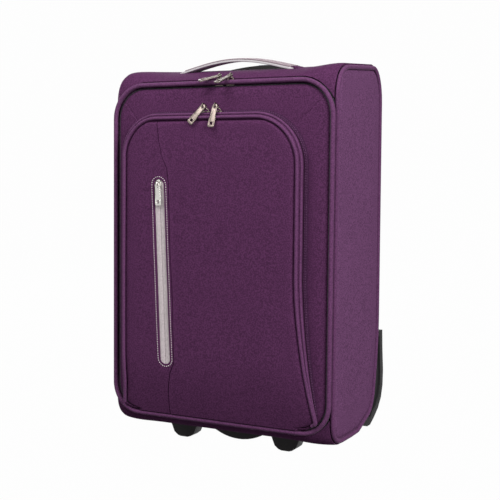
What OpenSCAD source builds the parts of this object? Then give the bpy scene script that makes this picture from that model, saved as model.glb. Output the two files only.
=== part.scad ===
// Softside upright suitcase: zipped lid hinged along its bottom edge, zipped front pocket,
// two-stage pull handle, two rear wheels. X is the width, Y runs from front to back, Z is up.
// The origin is on the floor, at the middle of the whole case.

/* [Case] */
// Width over the side seams
case_w = 348; // [330:2:364]
// Depth from the lid's face to the top of the back
case_d = 174; // [166:1:190]
// Height of the top seam at the back
case_top = 543; // [530:1:570]
// Gap between the floor and the bottom of the case
floor_gap = 25; // [23:0.5:28]
// How much the top falls from back to front
top_fall = 7; // [4:0.5:10]
// How much further back the case reaches low down
back_lean = 4; // [1:0.5:6]
// Thickness of a padded fabric wall
wall_t = 4; // [3:0.25:5]
// Thickness of the stiffening boards
board_t = 2; // [1.5:0.25:2.5]
// Diameter of the piping on every edge
piping_d = 6.4; // [5:0.2:7]

/* [Lid] */
// How much narrower the lid is than the case
lid_narrower = 2; // [0:0.5:8]
// Height of the lid's bottom edge above the floor
lid_bottom = 39; // [36:0.5:44]
// Gap between the top of the lid and the top of the case
lid_below_top = 26.5; // [22:0.5:34]
// Radius of the lid's top corners
lid_r = 50; // [40:1:60]
// Radius of the lid's bottom corners
lid_r_low = 44; // [36:1:54]
// Thickness of the lid panel
lid_t = 4; // [3:0.25:4.5]

/* [Front pocket] */
// How far the pocket's face stands in front of the lid
pocket_proud = 17; // [14:0.5:20]
// Gap between the lid's left edge and the pocket
pocket_gap_left = 20.5; // [17:0.5:24]
// Gap between the lid's right edge and the straight part of the pocket
pocket_gap_right = 36; // [34:1:44]
// Gap between the lid's top edge and the pocket
pocket_gap_top = 41; // [36:1:50]
// How much the pocket widens to the right at its foot
pocket_flare = 19; // [16:1:20]
// Width of the sloping shoulder around the pocket's face
shoulder = 13; // [9:0.5:15]
// Thickness of the pocket's padded panel
pocket_t = 2.5; // [2:0.25:3]

/* [Zips] */
// Width of one half of a closed zip chain, across the gap between the fabrics
chain_half = 1.6; // [1.4:0.1:1.8]
// Slot between the two halves of a chain
chain_slot = 1.2; // [1.1:0.1:1.4]
// Depth of a zip chain under the edge of the fabric
chain_depth = 3.5; // [3:0.25:4]
// Length of a slider
slider_len = 13; // [11:0.5:14]
// Width of a slider
slider_w = 6; // [5:0.2:6.2]
// Length of a pull from its eye to its tip
pull_len = 26; // [20:1:30]
// Width of a pull
pull_w = 8.4; // [7:0.2:9]
// Thickness of a pull
pull_t = 1.6; // [1.2:0.1:2]
// Length of the side zip's opening on the pocket
side_zip_len = 262; // [230:2:270]
// Width of the side zip's opening
side_zip_w = 16; // [14:0.5:18]
// How far the side zip leans off upright, in degrees
side_zip_lean = 2.6; // [0:0.1:4]

/* [Wheels] */
// Diameter of a wheel
wheel_d = 54; // [50:1:56]
// Width of a wheel
wheel_w = 24; // [20:1:26]
// Diameter of a wheel's axle
axle_d = 6; // [5:0.5:7]
// Distance from the side of the case to the middle of a wheel
wheel_side = 55; // [52:0.5:62]
// Gap between the back of the case and a wheel's centre
wheel_inset = 14; // [12:0.5:18]
// Width of a wheel housing
housing_w = 80; // [76:1:86]
// How far a housing stands behind the back of the case
housing_proud = 23; // [20:0.5:26]
// Height of the top of a housing above the floor
housing_top = 161; // [150:1:175]

/* [Pull handle] */
// Distance between the two tubes
tube_gap = 100; // [90:2:120]
// Width of an outer tube
tube_w = 24; // [22:0.5:26]
// Depth of an outer tube
tube_deep = 13; // [12:0.25:14]
// Wall thickness of every tube
tube_t = 1; // [0.8:0.1:1.2]
// Play between one tube and the next
tube_play = 0.3; // [0.2:0.05:0.4]
// How far the grip stands above the case's top seam when it is pushed home
grip_rise = 8; // [5:0.5:12]
// Depth of the grip from front to back
grip_deep = 20; // [18:0.5:21]
// Travel of the push button
button_travel = 2.5; // [2:0.25:3]

/* [Carry handle] */
// Length of the handle strap between its ends
handle_len = 182; // [160:2:200]
// Width of the handle strap
handle_w = 26; // [22:1:30]
// Thickness of the handle strap
handle_t = 4.4; // [3:0.2:5]
// Height of the arch under the strap
handle_rise = 15; // [12:0.5:20]

/* [Feet] */
// Distance from a side of the case to the middle of a front foot
foot_inset = 91; // [84:1:98]
// Width of a foot where it meets the case
foot_w = 49; // [40:1:54]
// Width of the bottom grip
bottom_grip_w = 110; // [84:2:112]

/* [Hidden] */

$fn = 48;

// Colours
purple = [0.33, 0.19, 0.32];
light_purple = [0.41, 0.26, 0.40];
lilac = [0.71, 0.66, 0.68];
black_plastic = [0.12, 0.12, 0.13];
silver = [0.72, 0.69, 0.66];
steel = [0.62, 0.63, 0.65];
dark_cloth = [0.16, 0.14, 0.17];

// Clearances
gap = 0.3;
run_play = 0.05;
touch = 0.5;
seam_slack = 0.3;

// Case outline, seen from the side
seam_y = chain_half + chain_slot + lid_t + 2.2;
side_x = case_w / 2;
piping_r = piping_d / 2;
wrap_x = side_x - piping_d;
lid_w = case_w - lid_narrower;
lid_top = case_top - lid_below_top;
back_low_y = case_d + back_lean;
bend_z = 177;
front_corner_y = 46;
rear_corner_y = 32;
rear_corner_z = 52;
tray_corner_y = 20;
tray_corner_z = 30;
chamfer_start = [case_d - 82, floor_gap + 2];
chamfer_end = [case_d - 24, floor_gap + 34];
knee = [case_d - 10, floor_gap + 67];
flat_end_y = chamfer_start[0] - 14;
// The same corner beside the wheels, where the case hangs lower
side_start = [case_d - 70, floor_gap + 1];
side_end = [case_d - 24, floor_gap + 19];
side_knee = [case_d - 9, floor_gap + 45];

// Lid joint and zips
lid_hinge = [2, lid_bottom - 3];
main_mid = lid_t + chain_half + chain_slot / 2;
chain_from = 1.5;
chain_to = chain_from + chain_depth;
zip_low = lid_bottom + lid_r_low + 6;

// Pocket
pocket_left = -lid_w / 2 + pocket_gap_left;
pocket_right = lid_w / 2 - pocket_gap_right;
pocket_top = lid_top - pocket_gap_top;
pocket_low = lid_bottom + piping_d + 1;
pocket_r_left = 60;
pocket_r_right = 74;
pocket_r_low = lid_r_low - piping_d - 1;
pocket_corner_x = lid_w / 2 - lid_r_low;
flare_mid = pocket_low + 92;
flare_top = pocket_low + 202;
face_taper = 96;
pocket_rear = -2.8;
pocket_base = pocket_rear - chain_slot;
pocket_mid = pocket_rear - chain_slot / 2;
flap_y = pocket_base - chain_half;
flap_foot_y = -touch;
pocket_hinge = [flap_foot_y - pocket_t, pocket_low - 0.5];

// Pulls
pull_pin_d = 2.4;
pocket_tilt = 15;
pocket_eye = [2 - pocket_proud, pocket_top + 4];
main_tilt = 65;
main_eye = [main_mid - 2.3, lid_top + 6.5];
main_pair_x = 7;
main_pair_gap = 17;
pocket_pair_x = -6.5;
pocket_pair_gap = 19;

// Side zip
side_zip_mid = [(pocket_left + pocket_right) / 2 - 71.25, (pocket_low + pocket_top) / 2 - 10.05];
side_slider_up = side_zip_len / 2 - 8.5;
side_tape_y = -pocket_proud + 0.8;
side_tape_t = 1.2;
side_pull_y = side_tape_y - 4.2;

// Pull handle
tube_x = tube_gap / 2;
tube_y = case_d - 21;
mid_w = tube_w - 2 * (tube_t + tube_play);
mid_deep = tube_deep - 2 * (tube_t + tube_play);
inner_w = mid_w - 2 * (tube_t + tube_play);
inner_deep = mid_deep - 2 * (tube_t + tube_play);
tube_low = floor_gap + 82;
tray_floor = case_top - 26;
tray_x = 84;
tray_t = 2;
well_x = 74;
well_y0 = tube_y - 22;
well_y1 = tube_y + 13;
grip_x = 64;
grip_top = case_top + grip_rise;
grip_under = tray_floor + 17;

// Wheels
wheel_r = wheel_d / 2;
wheel_x = side_x - wheel_side;
wheel_y = case_d - wheel_inset;
slot_w = wheel_w + 2;
cheek_t = 5;
cheek_x = wheel_x + slot_w / 2 + cheek_t;
cheek_r = 13;
hub_r = 19;
axle_r = axle_d / 2;
housing_out = side_x - 1.5;
housing_in = housing_out - housing_w;
housing_y = case_d + back_lean + housing_proud;

// Feet
foot_x = case_w / 2 - foot_inset;
foot_y = 62;
foot_deep = 22;
grip_lip_y = 72;
grip_lip_low = 3;
screw_d = 4;
hole_d = screw_d + 2 * run_play;

// Carry handle
handle_y = 52;
handle_z = case_top - 11.8;
handle_slope = 6.5;
rivet_d = 4;
rivet_x = handle_len / 2 - 9;

// Reach of the whole case along Y, and the shift that centres it
front_reach = pocket_eye[0] - pull_len * sin(pocket_tilt) - pull_t / 2 * cos(pocket_tilt);
shift_y = -(front_reach + housing_y) / 2;

// ---- outlines ----

function mix(a, b, s) = a + (b - a) * s;
function ease(x, lo, hi) = let (t = min(1, max(0, (x - lo) / (hi - lo)))) t * t * (3 - 2 * t);
function arc(c, r, a0, a1, n = 9) =
    [for (i = [0:n]) let (a = mix(a0, a1, i / n)) [c[0] + r[0] * cos(a), c[1] + r[1] * sin(a)]];
function curve(p, q, r, n = 7) =
    [for (i = [0:n]) let (t = i / n) (1 - t) ^ 2 * p + 2 * t * (1 - t) * q + t ^ 2 * r];
function after_first(p) = [for (i = [1:len(p) - 1]) p[i]];

// Height of the lid's outline at a distance x from the middle
function lid_top_z(x) = let (d = max(0, abs(x) - lid_w / 2 + lid_r))
    lid_top - lid_r + sqrt(lid_r ^ 2 - d ^ 2);
function lid_low_z(x) = let (d = max(0, abs(x) - lid_w / 2 + lid_r_low))
    lid_bottom + lid_r_low - sqrt(lid_r_low ^ 2 - d ^ 2);

// The wrap's outline from its lower front edge, under the case, up the back and over the top
function low_part(x) =
    let (s = ease(abs(x), 100, wrap_x),
        low = ease(abs(x), cheek_x, wrap_x - 5),
        start = mix(chamfer_start, side_start, low),
        end = mix(chamfer_end, side_end, low),
        heel = mix(knee, side_knee, low))
    concat(
        curve([seam_y, lid_low_z(x)], mix([20, floor_gap + 1], [seam_y, floor_gap], s),
            [front_corner_y, floor_gap]),
        [[flat_end_y, floor_gap], start],
        curve(mix(start, end, 0.86), end + [8, 4], heel, 4),
        after_first(curve(heel, [back_low_y - 1, (heel[1] + bend_z) / 2 + 6], [back_low_y, bend_z], 5)));
function back_part(x) = let (s = ease(abs(x), 92, wrap_x))
    [[back_low_y, bend_z + seam_slack],
        [case_d, case_top - mix(tray_corner_z, rear_corner_z, s) - seam_slack]];
function top_part(x) =
    let (s = ease(abs(x), 92, wrap_x),
        r = mix([tray_corner_y, tray_corner_z], [rear_corner_y, rear_corner_z], s))
    concat(
        arc([case_d - r[0], case_top - r[1]], r, 0, 90, 8),
        top_front(x));
function top_front(x) = let (f = ease(abs(x), 100, wrap_x), y = mix(90, front_corner_y + 10, f))
    curve([y, top_z(y) - mix(2.5, 0, f)], mix([34, lid_top + 13], [seam_y, top_z(30)], f),
        [seam_y, lid_top_z(x)]);
// Height of the top in the middle, from its rear corner to where it starts to fall
function top_mid_z(y) = let (a = case_d - tray_corner_y, b = top_front(0)[0])
    mix(case_top, b[1], (a - y) / (a - b[0]));
function top_z(y) = case_top - top_fall * (case_d - rear_corner_y - y) / (case_d - rear_corner_y - 56);

// The normal to the left of a path between three of its points
function unit(d) = norm(d) > 0 ? d / norm(d) : d;
function left_normal(a, b, c) = let (d = unit(unit(b - a) + unit(c - b))) [-d[1], d[0]];
// A path moved to its left by t, and the same for a closed one
function moved(p, t) = let (n = len(p))
    [for (i = [0:n - 1]) p[i] + t * left_normal(p[max(i - 1, 0)], p[i], p[min(i + 1, n - 1)])];
function inset(p, t) = let (n = len(p))
    [for (i = [0:n - 1]) p[i] + t * left_normal(p[(i + n - 1) % n], p[i], p[(i + 1) % n])];

side_outline = concat(low_part(wrap_x), top_part(wrap_x));

// The lid's outline, moved inwards by t
function lid_path(t = 0) = let (h = lid_w / 2 - t, a = lid_r - t, b = lid_r_low - t)
    concat(
        arc([h - a, lid_top - t - a], [a, a], 0, 90),
        arc([a - h, lid_top - t - a], [a, a], 90, 180),
        arc([b - h, lid_bottom + t + b], [b, b], 180, 270),
        arc([h - b, lid_bottom + t + b], [b, b], 270, 360));

// One side of the pocket's outline, moved inwards by t: from the corner at its foot up to its top
function pocket_right_side(t) = let (foot = pocket_right + pocket_flare - t, r = pocket_r_low - t,
        a = acos((foot - pocket_corner_x) / r), z = pocket_low + pocket_r_low - r * sin(a),
        q = pocket_r_right)
    concat(
        arc([pocket_corner_x, pocket_low + pocket_r_low], [r, r], 270, 360 - a, 5),
        curve([foot, z + 4], [pocket_right + 4 - t, flare_mid], [pocket_right - t, flare_top], 8),
        arc([pocket_right - q, pocket_top - q], (q - t) * [1, 1], 0, 90));
function pocket_left_side(t) = let (foot = pocket_left + t, r = pocket_r_low - t,
        a = acos((-pocket_corner_x - foot) / r), z = pocket_low + pocket_r_low - r * sin(a),
        q = pocket_r_left)
    concat(
        arc([-pocket_corner_x, pocket_low + pocket_r_low], [r, r], 270, 180 + a, 5),
        curve([foot, z + 4], [foot, flare_mid], [foot, flare_top], 8),
        arc([pocket_left + q, pocket_top - q], (q - t) * [1, 1], 180, 90));
function pocket_path(t = 0) = let (left = pocket_left_side(t), n = len(left))
    concat(pocket_right_side(t), [for (i = [n - 1:-1:0]) left[i]]);

// How far back the pocket's face stands at each height, and the same for its rear edge
function face_y(z) = let (s = min(1, max(0, (z - pocket_low) / face_taper)))
    mix(flap_foot_y - pocket_t - 0.5, -pocket_proud, 1 - (1 - s) ^ 2);
function base_y(z) = mix(flap_foot_y, flap_y, ease(z, zip_low - 38, zip_low - 25));
// The outline of the face, moved inwards by t: the shoulder is narrower on the left and dies away
// at the foot, early on the right
function face_share(p) = p[0] > 0 ? mix(0.3, 1, ease(p[1], pocket_low + 20, pocket_low + 190))
    : mix(mix(0.2, 0.75, ease(p[1], pocket_low + 2, pocket_low + 50)), 1,
        ease(p[1], pocket_top - 85, pocket_top - shoulder - 6));
function face_path(t = 0) = let (a = pocket_path(t), b = pocket_path(t + shoulder))
    [for (i = [0:len(a) - 1]) mix(a[i], b[i], face_share(b[i]))];

// ---- building blocks ----

module place() { translate([0, shift_y, 0]) children(); }

// A flat shape drawn in X and Z, from y0 to y1
module along_y(y0, y1) { translate([0, y1, 0]) rotate([90, 0, 0]) linear_extrude(y1 - y0) children(); }

// A flat shape drawn in Y and Z, from x0 to x1
module along_x(x0, x1) { translate([x0, 0, 0]) rotate([90, 0, 90]) linear_extrude(x1 - x0) children(); }

// A solid through closed rings with the same number of points. Each ring runs out along one side
// of a thin strip and back along the other, and the two ends are closed across the strip.
module skin(rings) {
    m = len(rings[0]);
    n = len(rings);
    sides = [for (i = [0:n - 2], j = [0:m - 1]) let (a = i * m + j, b = i * m + (j + 1) % m)
        each [[a, b, b + m], [a, b + m, a + m]]];
    ends = [for (j = [0:m / 2 - 2]) let (a = j, b = m - 1 - j, c = (n - 1) * m)
        each [[a + 1, a, b], [a + 1, b, b - 1], [c + a, c + a + 1, c + b], [c + a + 1, c + b - 1, c + b]]];
    polyhedron([for (r = rings) each r], concat(sides, ends));
}

// A round cord of radius r along a closed path whose points face the given axis
module cord_loop(path, r, axis, sides = 8) {
    n = len(path);
    rings = [for (i = [0:n - 1]) let (d = path[(i + 1) % n] - path[(i + n - 1) % n], u = cross(axis, d))
        [for (k = [0:sides - 1]) let (a = k * 360 / sides)
            path[i] + r * (cos(a) * u / norm(u) + sin(a) * axis)]];
    faces = [for (i = [0:n - 1], k = [0:sides - 1])
        let (a = i * sides + k, b = i * sides + (k + 1) % sides,
            c = ((i + 1) % n) * sides + (k + 1) % sides, e = ((i + 1) % n) * sides + k)
        each [[a, c, b], [a, e, c]]];
    polyhedron([for (r = rings) each r], faces);
}

// Flat points (x, z) set into space at the depth y
function stood(p, y) = [for (q = p) [q[0], y, q[1]]];

// A wall of the wrap between the places in xs, where outline(x) gives its outer face
module wall(xs, outline) {
    skin([for (x = xs) let (p = outline(x), q = moved(p, wall_t), n = len(p))
        [for (i = [0:n - 1]) [x, q[i][0], q[i][1]], for (i = [n - 1:-1:0]) [x, p[i][0], p[i][1]]]]);
}
// Places along the right-hand half of the case, close together where the outline changes
wing_x = [well_x + tray_t, for (k = [0.55, 0.62, 0.7, 0.76, 0.82, 0.88, 0.93, 0.97, 1]) k * wrap_x];
function both_ways(xs) = [for (i = [len(xs) - 1:-1:0]) -xs[i], for (x = xs) x];

// A flat ring between two closed paths
module ring(outer, inner) { difference() { polygon(outer); polygon(inner); } }

// A fabric ring that ends above the hinge
module zip_half(y0, y1, outer, inner, low) {
    along_y(y0, y1) intersection() {
        ring(outer, inner);
        translate([-case_w / 2, low]) square([case_w, case_top]);
    }
}

// An oval tube section
module oval(w, d) {
    square([w - d, d], center = true);
    for (s = [-1, 1]) translate([s * (w - d) / 2, 0]) circle(d = d);
}

// A pair of tubes from z0 to z1
module tube_pair(w, d, z0, z1) {
    for (s = [-1, 1]) translate([s * tube_x, tube_y, z0]) linear_extrude(z1 - z0)
        difference() { oval(w, d); oval(w - 2 * tube_t, d - 2 * tube_t); }
}

// A pan head screw with its head's underside at the origin and its point down
module screw(len) {
    translate([0, 0, -len]) cylinder(d = screw_d, h = len + 0.1);
    cylinder(d = 2 * screw_d, h = 2.4);
}

// A slider on a zip whose slot is at the depth mid, under a fabric edge at the height z
module slider(x, mid, z) {
    web = chain_slot - 2 * gap;
    deep = chain_to + gap;
    translate([x - slider_len / 2, mid - slider_w / 2, z + 0.6]) cube([slider_len, slider_w, 2]);
    translate([x - slider_len / 3, mid - web / 2, z - deep - 1]) cube([slider_len * 2 / 3, web, deep + 2]);
    translate([x - slider_len / 2, mid - chain_slot / 2 - chain_half + gap, z - deep - 1.2])
        cube([slider_len, chain_slot + 2 * chain_half - 2 * gap, 1.2]);
}

// The pin that a pull swings on, with the arm behind it
module pull_pin(x, eye, tilt, back) {
    translate([x, eye[0], eye[1]]) rotate([90 - tilt, 0, 0]) {
        translate([0, 0, -back]) cylinder(d = pull_pin_d, h = back + pull_t / 2 + 1);
        translate([0, 0, pull_t / 2 + gap]) cylinder(d = pull_pin_d + 1.6, h = 0.8);
        translate([-1.8, -1.3, -back]) cube([3.6, 2.6, back - pull_t / 2 - gap]);
    }
}

// A flat pull that hangs from its eye, with a slot near its tip
module pull(x, eye, tilt, swing) {
    slot_l = 5;
    slot_w = 3.4;
    translate([x, eye[0], eye[1]]) rotate([90 - tilt, 0, 0]) rotate([0, 0, swing])
        translate([0, 0, -pull_t / 2]) linear_extrude(pull_t) difference() {
            union() {
                circle(d = pull_w - 1.6);
                translate([-(pull_w - 1.6) / 2, 6 - pull_len]) square([pull_w - 1.6, pull_len - 6]);
                translate([-pull_w / 2, 2 - pull_len]) square([pull_w, 8]);
                translate([2 - pull_w / 2, -pull_len]) square([pull_w - 4, 3]);
                for (s = [-1, 1]) translate([s * (pull_w / 2 - 2), 2 - pull_len]) circle(r = 2);
            }
            circle(d = pull_pin_d + 2 * run_play);
            translate([-slot_w / 2, 2.2 - pull_len]) square([slot_w, slot_l]);
        }
}

// ---- body shell ----

module side_panel(s) {
    color(light_purple) mirror([s < 0 ? 1 : 0, 0, 0])
        along_x(side_x - 1 - wall_t, side_x - 1) polygon(inset(side_outline, piping_d + seam_slack));
}

module side_piping(s) {
    path = [for (q = inset(side_outline, piping_r)) [s * (side_x - piping_r), q[0], q[1]]];
    color(light_purple) cord_loop(path, piping_r, [1, 0, 0]);
}

module side_panel_left() place() side_panel(-1);
module side_panel_right() place() side_panel(1);
module side_piping_left() place() side_piping(-1);
module side_piping_right() place() side_piping(1);

module top_panel() place() color(purple) difference() {
    wall(both_ways(wing_x), function (x) top_part(x));
    // room for the pull handle's tray
    translate([-wing_x[0], well_y0 - tray_t, tray_floor - 20]) cube([2 * wing_x[0], case_d, 60]);
    rivet_places() cylinder(d = rivet_d + 2 * run_play, h = 30, center = true);
}

module back_panel() place() color(purple) wall(both_ways(wing_x), function (x) back_part(x));

module bottom_panel() place() color(purple) difference() {
    wall(both_ways(wing_x), function (x) low_part(x));
    foot_screws(hole_d, 60);
    housing_screws(hole_d, 40);
}

// Screws under each foot, and through the back into each housing
foot_screw_x = 14;
housing_screw_x = [housing_in + 8, housing_out - 14];
housing_screw_z = housing_top - 13;
module foot_screws(d, h) {
    for (s = [-1, 1], t = [-1, 1]) translate([s * foot_x + t * foot_screw_x, foot_y, floor_gap - h / 2])
        cylinder(d = d, h = h);
}
module housing_screws(d, h) {
    for (s = [-1, 1], x = housing_screw_x)
        translate([s * x, case_d + h / 2, housing_screw_z]) rotate([90, 0, 0]) cylinder(d = d, h = h);
}

module main_zip_body_tape() place() color(dark_cloth)
    zip_half(main_mid + chain_slot / 2, seam_y, lid_path(chain_from), lid_path(chain_to), zip_low);

// ---- inside the case ----

wire_d = 4;
wire_in = 9;
module frame_wire() place() color(steel) {
    y = seam_y + wire_d / 2 + 1;
    h = lid_w / 2 - wire_in;
    a = lid_r - wire_in;
    b = lid_r_low - wire_in;
    z1 = lid_top - wire_in;
    z0 = lid_bottom + wire_in;
    for (s = [-1, 1]) {
        translate([s * h, y, z0 + b]) cylinder(d = wire_d, h = z1 - a - z0 - b);
        translate([s * (h - a), y, z1 - a]) rotate([90, s > 0 ? 0 : -90, 0])
            rotate_extrude(angle = 90) translate([a, 0]) circle(d = wire_d);
        translate([s * (h - b), y, z0 + b]) rotate([90, s > 0 ? 90 : 180, 0])
            rotate_extrude(angle = 90) translate([b, 0]) circle(d = wire_d);
    }
    translate([a - h, y, z1]) rotate([0, 90, 0]) cylinder(d = wire_d, h = 2 * (h - a));
    translate([b - h, y, z0]) rotate([0, 90, 0]) cylinder(d = wire_d, h = 2 * (h - b));
}

board_y = case_d - wall_t - board_t - 0.4;
board_low = housing_top - 23;
module back_board() place() color(black_plastic) difference() {
    translate([-side_x + 20, board_y, board_low])
        cube([2 * side_x - 40, board_t, case_top - 60 - board_low]);
    housing_screws(hole_d, 40);
}

module bottom_board() place() color(black_plastic) {
    p = [[front_corner_y, floor_gap], [flat_end_y, floor_gap], chamfer_start,
        mix(chamfer_start, chamfer_end, 0.76)];
    a = moved(p, wall_t);
    b = moved(p, wall_t + board_t);
    difference() {
        along_x(-side_x + 30, side_x - 30) polygon(concat(a, [for (i = [3:-1:0]) b[i]]));
        foot_screws(hole_d, 60);
    }
}

// Cloth bag inside the case, open towards the lid
lining_t = 1;
lining_rear = tube_y - tube_deep / 2 - 1.5;
lining_front = seam_y + wire_d + 1.3;
lining_floor = floor_gap + wall_t + board_t + 3.2;
lining_x = lid_w / 2 - 11;
lining_top = lid_top - 11;
lining_r = 34;
module lining_shape(t) {
    h = lining_x - t - lining_r;
    r = [lining_r, lining_r];
    high = lining_top - t;
    low = lining_floor + t;
    intersection() {
        along_x(-side_x, side_x) polygon([[lining_front + t, lining_floor + 15], [lining_front + 10, low + 3],
            [front_corner_y, low], [flat_end_y + 6, low], [lining_rear - t, lining_floor + 34],
            [lining_rear - t, high], [lining_front + t, high]]);
        along_y(lining_front + t, lining_rear - t) polygon(concat(
            arc([h, high - lining_r], r, 0, 90), arc([-h, high - lining_r], r, 90, 180),
            arc([-h, low + lining_r], r, 180, 270), arc([h, low + lining_r], r, 270, 360)));
    }
}
module lining() place() color(dark_cloth) difference() {
    lining_shape(0);
    lining_shape(lining_t);
    along_y(0, lining_front + 3) polygon(lid_path(12));
}

strap_w = 25;
strap_t = 1.5;
strap_spread = 100;
strap_end_x = lining_x - 12;
buckle_w = 48;
buckle_h = 30;
buckle_z = 270;
buckle_y = lining_rear - lining_t;
module packing_straps() place() color(dark_cloth) along_y(buckle_y - strap_t, buckle_y) {
    x = buckle_w / 2 - 6;
    for (s = [-1, 1], t = [-1, 1])
        polygon([[s * x, buckle_z + t], [s * x, buckle_z + t * (1 + strap_w / 2)],
            [s * strap_end_x, buckle_z + t * (strap_spread + strap_w)],
            [s * strap_end_x, buckle_z + t * strap_spread]]);
}

module strap_buckle() place() color(black_plastic) along_y(buckle_y - 8, buckle_y - strap_t)
    translate([-buckle_w / 2, buckle_z - buckle_h / 2]) square([buckle_w, buckle_h]);

// ---- pull handle ----

// The tray's rim lies on the case's top and over its rear corner
rim_y = well_y0 - 9;
rim_path = concat([mix(back_part(0)[1], back_part(0)[0], 0.024)],
    arc([case_d - tray_corner_y, case_top - tray_corner_z], [tray_corner_y, tray_corner_z], 0, 90, 8),
    [[rim_y, top_mid_z(rim_y)]]);
module handle_tray() place() color(black_plastic) {
    n = len(rim_path);
    outer = moved(rim_path, -tray_t);
    difference() {
        union() {
            along_x(-tray_x, tray_x) polygon(concat(outer, [for (i = [n - 1:-1:0]) rim_path[i]]));
            intersection() {
                translate([-well_x - tray_t, well_y0 - tray_t, tray_floor - tray_t])
                    cube([2 * (well_x + tray_t), case_d + tray_t - well_y0, 40]);
                along_x(-tray_x, tray_x)
                    polygon(concat(outer, [[rim_y, tray_floor - 9], [case_d - 2, tray_floor - 9]]));
            }
        }
        translate([-well_x, well_y0, tray_floor]) cube([2 * well_x, well_y1 - well_y0, 60]);
        for (s = [-1, 1]) translate([s * tube_x, tube_y, tray_floor - tray_t - 1])
            linear_extrude(tray_t + 2) oval(mid_w + 2 * gap, mid_deep + 2 * gap);
    }
}

module outer_tubes() place() color(steel)
    tube_pair(tube_w, tube_deep, tube_low, tray_floor - tray_t);

tube_foot_side = tube_w / 2 + 6;
tube_foot_t = 1.2;
tube_foot_h = 24;
module tube_foot() place() color(black_plastic) difference() {
    translate([-tube_x - tube_foot_side, tube_y - tube_deep / 2 - tube_foot_t, tube_low - tube_foot_h / 3])
        cube([2 * (tube_x + tube_foot_side), tube_deep + 2 * tube_foot_t, tube_foot_h]);
    for (s = [-1, 1]) translate([s * tube_x, tube_y, tube_low])
        linear_extrude(30) oval(tube_w + 2 * run_play, tube_deep + 2 * run_play);
}

clamp_heights = [210, 400];
module tube_clamps() place() color(black_plastic)
    for (s = [-1, 1], z = clamp_heights) translate([s * tube_x - 8, tube_y + tube_deep / 2, z])
        cube([16, board_y - tube_y - tube_deep / 2, 30]);

module mid_tubes() place() color(steel)
    tube_pair(mid_w, mid_deep, tube_low + 6, tray_floor + 0.6);

module inner_tubes() place() color(steel)
    tube_pair(inner_w, inner_deep, tube_low + 12, grip_under + 4);

button_x = 15;
button_y = 4.5;
button_up = 1.4;
grip_fall = 6;
function grip_arch(x) = grip_top - grip_fall * (x / grip_x) ^ 2;

module grip() place() color(black_plastic) difference() {
    along_y(tube_y - grip_deep / 2, tube_y + grip_deep / 2) difference() {
        polygon(concat([for (i = [-10:10]) let (x = i * (grip_x - 3) / 10) [x, grip_arch(x)]],
            [[grip_x, grip_arch(grip_x) - 5], [grip_x, tray_floor + 1], [-grip_x, tray_floor + 1],
            [-grip_x, grip_arch(grip_x) - 5]]));
        translate([-tube_x + tube_w / 2, tray_floor]) square([2 * tube_x - tube_w, grip_under - tray_floor]);
    }
    for (s = [-1, 1]) translate([s * tube_x, tube_y, tray_floor]) {
        linear_extrude(grip_under - tray_floor + 4) oval(inner_w + 2 * run_play, inner_deep + 2 * run_play);
        linear_extrude(2) oval(mid_w + 2 * gap, mid_deep + 2 * gap);
    }
    translate([-button_x, tube_y - button_y, grip_top - 6]) cube([2 * button_x, 2 * button_y, 10]);
}

module grip_button() place() color(steel)
    translate([-button_x + gap, tube_y - button_y + gap, grip_top - 6 + button_travel + gap])
        cube([2 * (button_x - gap), 2 * (button_y - gap), 6 + button_up - button_travel - gap]);

// ---- carry handle ----

module handle_frame() { translate([0, handle_y, handle_z]) rotate([handle_slope, 0, 0]) children(); }
function strap_z(x) = handle_rise * cos(min(90, 180 * abs(x) / handle_len)) ^ 1.1;
strap_steps = [for (i = [-14:14]) i * handle_len / 28];

module carry_strap() place() color(lilac) difference() {
    handle_frame() along_y(0, handle_w) polygon(concat([for (x = strap_steps) [x, strap_z(x) + handle_t]],
        [for (i = [28:-1:0]) [strap_steps[i], strap_z(strap_steps[i])]]));
    rivet_places() cylinder(d = rivet_d + 2 * run_play, h = 30, center = true);
}

cover_x = 58;
cover_lift = 0.7;
module carry_covers() place() color(purple) handle_frame() along_y(3, handle_w + 3) {
    xs = [for (i = [0:5]) cover_x + i * (handle_len / 2 - cover_x) / 5];
    for (s = [-1, 1]) {
        polygon(concat([for (i = [0:5]) [s * xs[i], strap_z(xs[i]) + handle_t + i / 2]],
            [[s * (handle_len / 2 + 12), cover_lift], [s * (handle_len / 2 + 0.2), cover_lift]],
            [for (i = [5:-1:0]) [s * xs[i], strap_z(xs[i]) + handle_t]]));
    }
}

module rivet_places() {
    for (s = [-1, 1], y = [7, handle_w - 7]) handle_frame() translate([s * rivet_x, y, 0]) children();
}
// Plates inside the case, riveted through its top to the ends of the strap
module carry_plates() place() color(black_plastic) {
    under = wall_t + 4;
    handle_frame() for (s = [-1, 1]) translate([s * rivet_x - 10, 1, -under]) cube([20, handle_w - 2, 1.6]);
    rivet_places() translate([0, 0, -under]) cylinder(d = rivet_d, h = under + handle_t);
}

// ---- wheels and feet ----

module case_section() { polygon(concat(low_part(0), top_part(0))); }

module housing_outline(t) {
    h = housing_y;
    polygon([[case_d - 10, housing_top], [h - 6.5 - t, housing_top - t / 2], [h - 4 - t, 130],
        [h - t, 100], [h - 1 - t, 77 + t / 2], [h - 7 - t, 60 + t / 2], [h - 19 - t, 46 + t / 2],
        [h - 35 - t / 2, 35.5 + t], [h - 51, 27.5 + t], [h - 63, 27.5 + t], [h - 75, 31 + t],
        [h - 90, 36 + t], [h - 90, 80], [h - 60, 110]]);
}

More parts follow.
